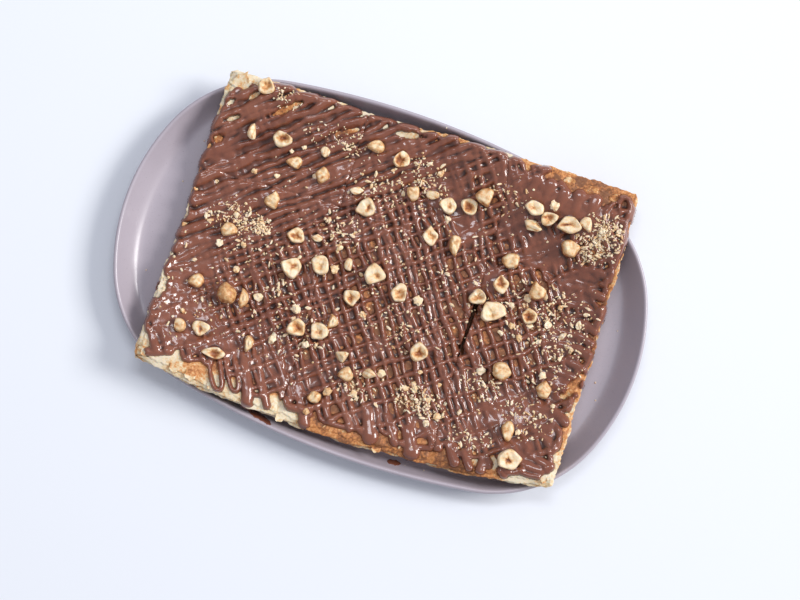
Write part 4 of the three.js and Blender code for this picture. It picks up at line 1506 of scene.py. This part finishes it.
def broken_outline(kind, a, b, key):
    """The outline with lumps, broken sides and a tip, and where the tip is, 0 to 1."""
    turn = np.arctan2(b, a)
    corners = 2 + int(draw(key + 8) * 3)
    outline = 1 + 0.09 * np.cos(corners * turn + key * 2) + 0.04 * np.cos(5 * turn + key * 7)
    a, b = a * outline, b * outline
    for side in (0, 1):
        way, limit = key * 1.7 + side * 2.3, mix(0.58, 1.0, draw(key + 14 + side))
        reach = a * math.cos(way) + b * math.sin(way)
        broken = 0.72 * np.clip(reach - limit, 0, None) * (kind != "whole")
        a, b = a - broken * math.cos(way), b - broken * math.sin(way)
    tip_side = 1 if draw(key + 9) > 0.5 else -1
    tip = smooth((a * tip_side - 0.3) / 0.75) if kind != "crescent" else 0 * a
    b = b * (1 - 0.42 * tip)
    a = a + tip_side * TIP * tip
    if kind == "crescent":
        b = b * 0.75 + 0.6 * (a**2 - 0.45)
    return a, b, tip


def nut_form(kind, ball, key, low, top):
    """The ball as a nut: a along, b across, both about -1 to 1, z in mm, and the roast."""
    a, b, c = ball.T
    sink = NUT_SINK * smooth(-c * 1.5)
    if kind == "chip":
        a, b, c = (ball * faceted(ball, key)[:, None]).T
        roast = 0.16 + 0.3 * smooth(wander(key, a * 2 + b * 3))
        return a, b, low + top * (0.42 + 0.55 * c) - sink, roast
    rho = np.hypot(a, b)
    height, roast = upper_form(kind, a, b, key)
    lower = -dome_of(rho) * 0.34
    z = np.where(c >= 0, low + top * (0.3 + 0.7 * height), low + top * (0.3 + lower)) - sink
    rim = smooth(1 - (1 - rho) / 0.12)
    z = mix(z, low + top * (0.55 if kind in HOLLOWS else 0.3), rim * 0.8)
    a, b, tip = broken_outline(kind, a, b, key)
    return a, b, z, np.where(c < 0, 0.3, roast) + 0.2 * smooth((tip - 0.8) / 0.2)


def make_nut(name, key):
    kind = name.rsplit("_", 1)[0]
    centre, along, across, half_along, half_across, low, high = nut_place(name)
    bm = bmesh.new()
    bmesh.ops.create_uvsphere(bm, u_segments=26, v_segments=16, radius=1)
    mesh = mesh_from("nut_" + name, bm)
    a, b, z, roast = nut_form(kind, coordinates(mesh), key, low, high - low)
    a, b = (side / np.abs(side).max() * NUT_GROWTH for side in (a, b))
    z = z + 0.1 * wander(key + 3, a * 5 + b * 2) * wander(key + 6, b * 6 - a)
    place = centre + along * (a * half_along)[:, None] + across * (b * half_across)[:, None]
    store(mesh, "roast", roast + 0.05 * (draw(key + 11) - 0.5))
    reshape(mesh, *place.T, z)
    nut = show("nut_" + name, mesh, nut_finish)
    if kind != "chip":
        rounded(nut, 1)
    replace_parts(nut, name)
    return nut


nuts = [make_nut(name, 40 + 3.3 * n) for n, name in enumerate(nut_names)]
print(len(nuts), "pieces of hazelnut")

# %% [markdown]
# ## Chopped nut
# Between the pieces lies chopped nut: broken chunks, thin slivers and a fine dust of
# grains. It lies in heaps, as it fell from the hand, and densest near the right end. Each
# kind is one mesh of many small faceted solids, every one with its own size and turn, set
# a little into the chocolate or the dough below it.

# %% Where the surface is, and where the nuts are
def surface_at(x, y):
    """Height of the dressed sheet at places in plan, in millimetres."""
    spot = tuple(np.clip(np.round(v).astype(int), 1, LATTICE - 2)
                 for v in lattice_position(x, y))
    bare = sheet_top(x, y) + blister(x, y)
    return np.where(has_chocolate[spot], np.maximum(chocolate_top[spot], bare - 1), bare)


nut_boxes = [plan_box(name) for name in nut_names]
nut_spots = np.array([((low + high) / 2)[:2] for low, high in nut_boxes])
nut_reach = np.array([(high - low)[:2].mean() / 2 for low, high in nut_boxes])


def clear_of_nuts(x, y, size):
    """True where a piece of the given size lies beside the larger pieces."""
    away = np.hypot(x[:, None] - nut_spots[:, 0], y[:, None] - nut_spots[:, 1])
    return (away > nut_reach * 1.05 + np.asarray(size)[:, None] * 0.4).all(axis=1)


middle_height = float(surface_at(np.zeros(1), np.zeros(1))[0])
print("surface in the middle:", round(middle_height, 1), "mm")

# %% Many small solids in one mesh
def scatter(name, places, sizes, squash, key, sink, detail=1, ground=surface_at):
    """One mesh of faceted solids at places, sizes long, squashed in length, width, height."""
    bm = bmesh.new()
    for _ in range(len(places)):
        bmesh.ops.create_icosphere(bm, subdivisions=detail, radius=1)
    mesh = mesh_from(name, bm)
    ball = coordinates(mesh).reshape(len(places), -1, 3)
    number = np.arange(len(places))[:, None]
    knock = draw(key + number * 1.37 + np.arange(ball.shape[1]) * 7.91)
    long_, wide, thick = squash
    wide = wide * mix(0.7, 1.3, draw(key + number * 2.17))
    thick = thick * mix(0.75, 1.3, draw(key + number * 3.31))
    half = (sizes / 2)[:, None]
    a, b, c = np.moveaxis(ball * (0.66 + 0.6 * knock)[:, :, None], 2, 0)
    a, b, c = a * long_ * half, b * wide * half, c * thick * half
    tilt = 0.7 * (draw(key + number * 4.7) - 0.5)
    a, c = a * np.cos(tilt) - c * np.sin(tilt), a * np.sin(tilt) + c * np.cos(tilt)
    turn = draw(key + number * 5.9) * 2 * math.pi
    x = places[:, 0, None] + a * np.cos(turn) - b * np.sin(turn)
    y = places[:, 1, None] + a * np.sin(turn) + b * np.cos(turn)
    z = ground(*places.T)[:, None] + c - c.min(axis=1, keepdims=True) - sink * half
    reshape(mesh, x, y, z)
    tone = 0.02 + 0.3 * draw(key + number * 8.3) ** 2 + 0.08 * knock
    store(mesh, "roast", tone.ravel())
    show(name, mesh, nut_finish, merge=0)
    print(name + ":", len(places), "solids,", len(mesh.polygons), "faces")


def heap(x0, y0, spread_x, spread_y, count, key):
    """Places gathered round a middle, thinning outwards."""
    n = np.arange(count)
    turn, far = draw(key + n * 1.9) * 2 * math.pi, draw(key + n * 3.3) ** 0.75 * 1.15
    x, y = x0 + np.cos(turn) * far * spread_x, y0 + np.sin(turn) * far * spread_y
    return np.stack([x, y], axis=1)


def spread_over(heaps, key, size_low, size_high, share):
    """Places and sizes of pieces over all heaps, none under a larger piece."""
    places = np.concatenate([heap(*spot[:4], int(spot[4] * share), key + 40 * k)
                             for k, spot in enumerate(heaps)])
    sizes = mix(size_low, size_high, draw(key + np.arange(len(places)) * 2.3) ** 2)
    x, y = places.T
    free = clear_of_nuts(x, y, sizes) & (edge_gap(x, y) > 1.5)
    return places[free], sizes[free]


# [middle x, middle y, spread x, spread y, how many fine grains]
HEAPS = [
    (133, 84, 17, 16, 190), (124, 72, 12, 8, 70), (-0.1, 78, 19, 17, 120),
    (-111, 6, 20, 11, 130), (-93, 9, 7, 6, 70), (117, 20, 36, 20, 190),
    (128, -51, 18, 15, 70), (55, -67, 19, 9, 150),
    (-41, -50, 19, 18, 60), (-40, 26, 14, 14, 50), (-27, 60, 19, 11, 50), (90, -41, 15, 10, 50),
    (-64, -29, 11, 10, 25), (21, -26, 21, 14, 45), (8, -72, 15, 9, 45), (-110, 98, 12, 8, 40),
    (97, -79, 15, 9, 40), (-60, 84, 26, 10, 60), (60, 88, 24, 16, 50), (-84, -8, 30, 20, 50),
    (30, 20, 60, 40, 90), (-100, -60, 40, 30, 50), (130, -10, 20, 20, 60),
    (0, 0, 140, 95, 200), (134, 87, 9, 9, 50),
]
# Small broken pieces, as the photograph shows them: [x, y].
CHIPS = [
    (-111.2, 43.4), (-95.8, 46.3), (-91.9, 65.7), (-116.1, -12.4), (-99.9, -7.7), (-112, 10.1),
    (-98.3, -25.8), (-122.5, -66.5), (-15.2, 2.1), (-3.7, -24.3), (62.2, 24.8), (91.3, 19.4),
    (104.1, -0.4), (142.2, 31.3), (91, -1.6), (119.8, 15.3), (140.1, 23), (141.3, 4),
    (128.6, -19.5), (47.8, -47.3), (42.6, -61.3), (46.2, -56.9), (48.7, -59.7), (63.5, -51.1),
    (83.3, -63.8), (64.4, -79.2), (-16.4, -101), (126.2, -62.4), (142.6, -36.7), (131.5, 88.7),
    (142.7, 92.9), (-85, 72), (-70, 55), (-128, -30), (-60, -2), (28, 60), (12, 88), (-8, 66),
    (112, 34), (100, 28), (124, 30), (132, 12), (108, 10), (118, 2), (136, -4), (96, 6),
    (-36, 14), (-50, 30), (-48, -44), (-34, -58), (10, -78), (2, -66), (60, -64), (70, -72),
]
# Larger broken pieces: [x, y].
PIECES = [
    (94, 94), (-57, -62), (-49, -37), (-34, -1), (29, -1), (87, -31), (23, -58), (-8, -83),
    (-77, -38),
]


def drawn_sizes(places, low, high, key, stride=1.0):
    """The listed places as an array, and a size for each."""
    return np.array(places, float), mix(low, high, draw(key + np.arange(len(places)) * stride))


scatter("nut_grains", *spread_over(HEAPS, 700, 1.0, 2.6, 1.05), (1, 0.8, 0.75), 710, 0.25)
scatter("nut_slivers", *spread_over(HEAPS, 1700, 2.4, 5.6, 0.42), (1, 0.36, 0.3), 1710, 0.1)
scatter("nut_chips", *drawn_sizes(CHIPS, 3.8, 6.0, 2700, 1.7), (1, 0.75, 0.5), 2710, 0.25, 2)
scatter("nut_pieces", *drawn_sizes(PIECES, 6.5, 8.5, 2900), (1, 0.8, 0.5), 2910, 0.2, 2)

# %% [markdown]
# ## What fell on the platter
# A little chocolate ran over the edge onto the platter's wall, and a few specks of nut
# fell beside the sheet. Their height comes from rays sent down onto the finished platter,
# so they lie on the glaze from every side. A spill is a small grid, thickened and draped.

# %% Spills and specks
def platter_height():
    """A function that gives the platter's height in millimetres at places in plan."""
    tree = BVHTree.FromObject(platter, bpy.context.evaluated_depsgraph_get())

    def height_at(x, y):
        heights = []
        for place in zip(np.ravel(x), np.ravel(y)):
            start = Vector(to_frame(np.array([[*place, 200.0]]))[0])
            heights.append(tree.ray_cast(start, Vector((0, 0, -1)))[0].z / MM)
        return np.array(heights).reshape(np.shape(x))
    return height_at


on_platter = platter_height()


def make_spill(number, x0, y0, half_long, half_wide, degrees, thick):
    mesh = mesh_from(f"spill_{number}", thickened(grid(18, 10)))
    u, v, level = coordinates(mesh).T
    a, b = u * 2 - 1, v * 2 - 1
    a, b = a * np.sqrt(1 - b**2 / 2), b * np.sqrt(1 - a**2 / 2)
    swell = np.sqrt(np.clip(1 - a**2 - b**2, 0, 1))
    wave = 1 + 0.2 * wander(number * 2.7, a * 3) + 0.1 * wander(number, a * 7)
    along, across = lane_axes(degrees)
    x = x0 + along[0] * a * half_long + across[0] * b * half_wide * wave
    y = y0 + along[1] * a * half_long + across[1] * b * half_wide * wave
    reshape(mesh, x, y, on_platter(x, y) + np.where(level > 0.5, thick * swell, -0.15))
    # The spill takes a tenth of the chocolate's painted hollow shade, all over.
    store(mesh, "hollow", 0.1 + 0 * u)
    return mesh


# [x, y, half length, half width, direction in degrees, thickness]
SPILLS = [(-48, -115.6, 11, 2.1, -13, 0.9), (-40, -117.4, 4, 1.5, -20, 0.8),
          (53.2, -112.7, 5, 1.8, 8, 0.9)]
spill_mesh = join_meshes("spilled_chocolate", [make_spill(n, *s) for n, s in enumerate(SPILLS)])
show("spilled_chocolate", spill_mesh, chocolate)
# The specks' places: [x, y].
SPECKS = [(-154.3, 52.4), (-159.3, -48.4), (61.2, -111.9), (74.8, -110.5), (166.1, -9.8),
          (170.5, -21.5), (-158, 20), (-150, 84), (168, 30), (4.1, 120.3)]
scatter("plate_specks", *drawn_sizes(SPECKS, 0.7, 1.4, 3100), (1, 0.8, 0.6), 3110, 0.15, 1,
        on_platter)

# %% [markdown]
# ## Floor, light and camera
# The photograph looks almost straight down, with broad soft daylight from the right. So
# one large light stands to the right, far enough away to light the floor evenly, a weak
# one hangs above for the small highlights, and a pale world keeps the shadows open. The
# camera is turned so that the platter's length runs down to the right, and set high with
# a long lens, as the small perspective shows.

# %% Floor, light and camera
IMAGE_RIGHT = Vector((0.9345, 0.3561, 0))
IMAGE_UP = Vector((-0.3561, 0.9345, 0))
CAMERA_DISTANCE = 1.2
CAMERA_TILT = math.radians(4)
VIEW_CENTRE = Vector((0.0168, -0.0052, 0.02))
VIEW_WIDTH = 0.56
SENSOR_WIDTH = 36
# [name, place, size in metres, watts, colour]; both face the platter.
LIGHTS = [
    ("window", IMAGE_RIGHT * 5.8 + IMAGE_UP * 0.9 + Vector((0, 0, 4.3)), (3.0, 2.4), 455,
     (1, 0.99, 0.98)),
    ("sky", IMAGE_UP * 0.55 + IMAGE_RIGHT * 0.1 + Vector((0, 0, 1.5)), (0.75, 0.32), 6.5,
     (0.9, 0.93, 1)),
]


def make_floor():
    bm = bmesh.new()
    bmesh.ops.create_grid(bm, x_segments=1, y_segments=1, size=3)
    mesh = mesh_from("floor", bm)
    floor = bpy.data.objects.new("floor", mesh)
    collection.objects.link(floor)
    material, _ = new_material("pale_floor", {
        "Base Color": (*rgb(233, 236, 241), 1), "Roughness": 0.55})
    mesh.materials.append(material)


def add_light(name, place, size, power, colour):
    lamp = bpy.data.lights.new(name, "AREA")
    lamp.shape = "RECTANGLE"
    lamp.size, lamp.size_y = size
    lamp.energy = power
    lamp.color = colour
    light = bpy.data.objects.new(name, lamp)
    collection.objects.link(light)
    light.location = place
    light.rotation_euler = (-place).to_track_quat("-Z", "Y").to_euler()


def make_camera():
    lens = bpy.data.cameras.new("camera")
    lens.sensor_width = SENSOR_WIDTH
    lens.lens = SENSOR_WIDTH * CAMERA_DISTANCE / VIEW_WIDTH
    lens.clip_end = 20
    camera = bpy.data.objects.new("camera", lens)
    collection.objects.link(camera)
    back = Vector((0, 0, 1)) * math.cos(CAMERA_TILT) - IMAGE_UP * math.sin(CAMERA_TILT)
    camera.location = VIEW_CENTRE + back * CAMERA_DISTANCE
    turn = np.array([IMAGE_RIGHT, back.cross(IMAGE_RIGHT), back]).T
    camera.rotation_euler = Matrix(turn.tolist()).to_euler()
    bpy.context.scene.camera = camera


def make_world():
    world = bpy.data.worlds.new("studio")
    world.use_nodes = True
    background = world.node_tree.nodes["Background"]
    background.inputs["Color"].default_value = (0.86, 0.89, 1, 1)
    background.inputs["Strength"].default_value = 0.5
    bpy.context.scene.world = world
    bpy.context.scene.view_settings.view_transform = "Standard"


make_floor()
for light in LIGHTS:
    add_light(*light)
make_camera()
make_world()
print("the camera sees", VIEW_WIDTH, "m across")
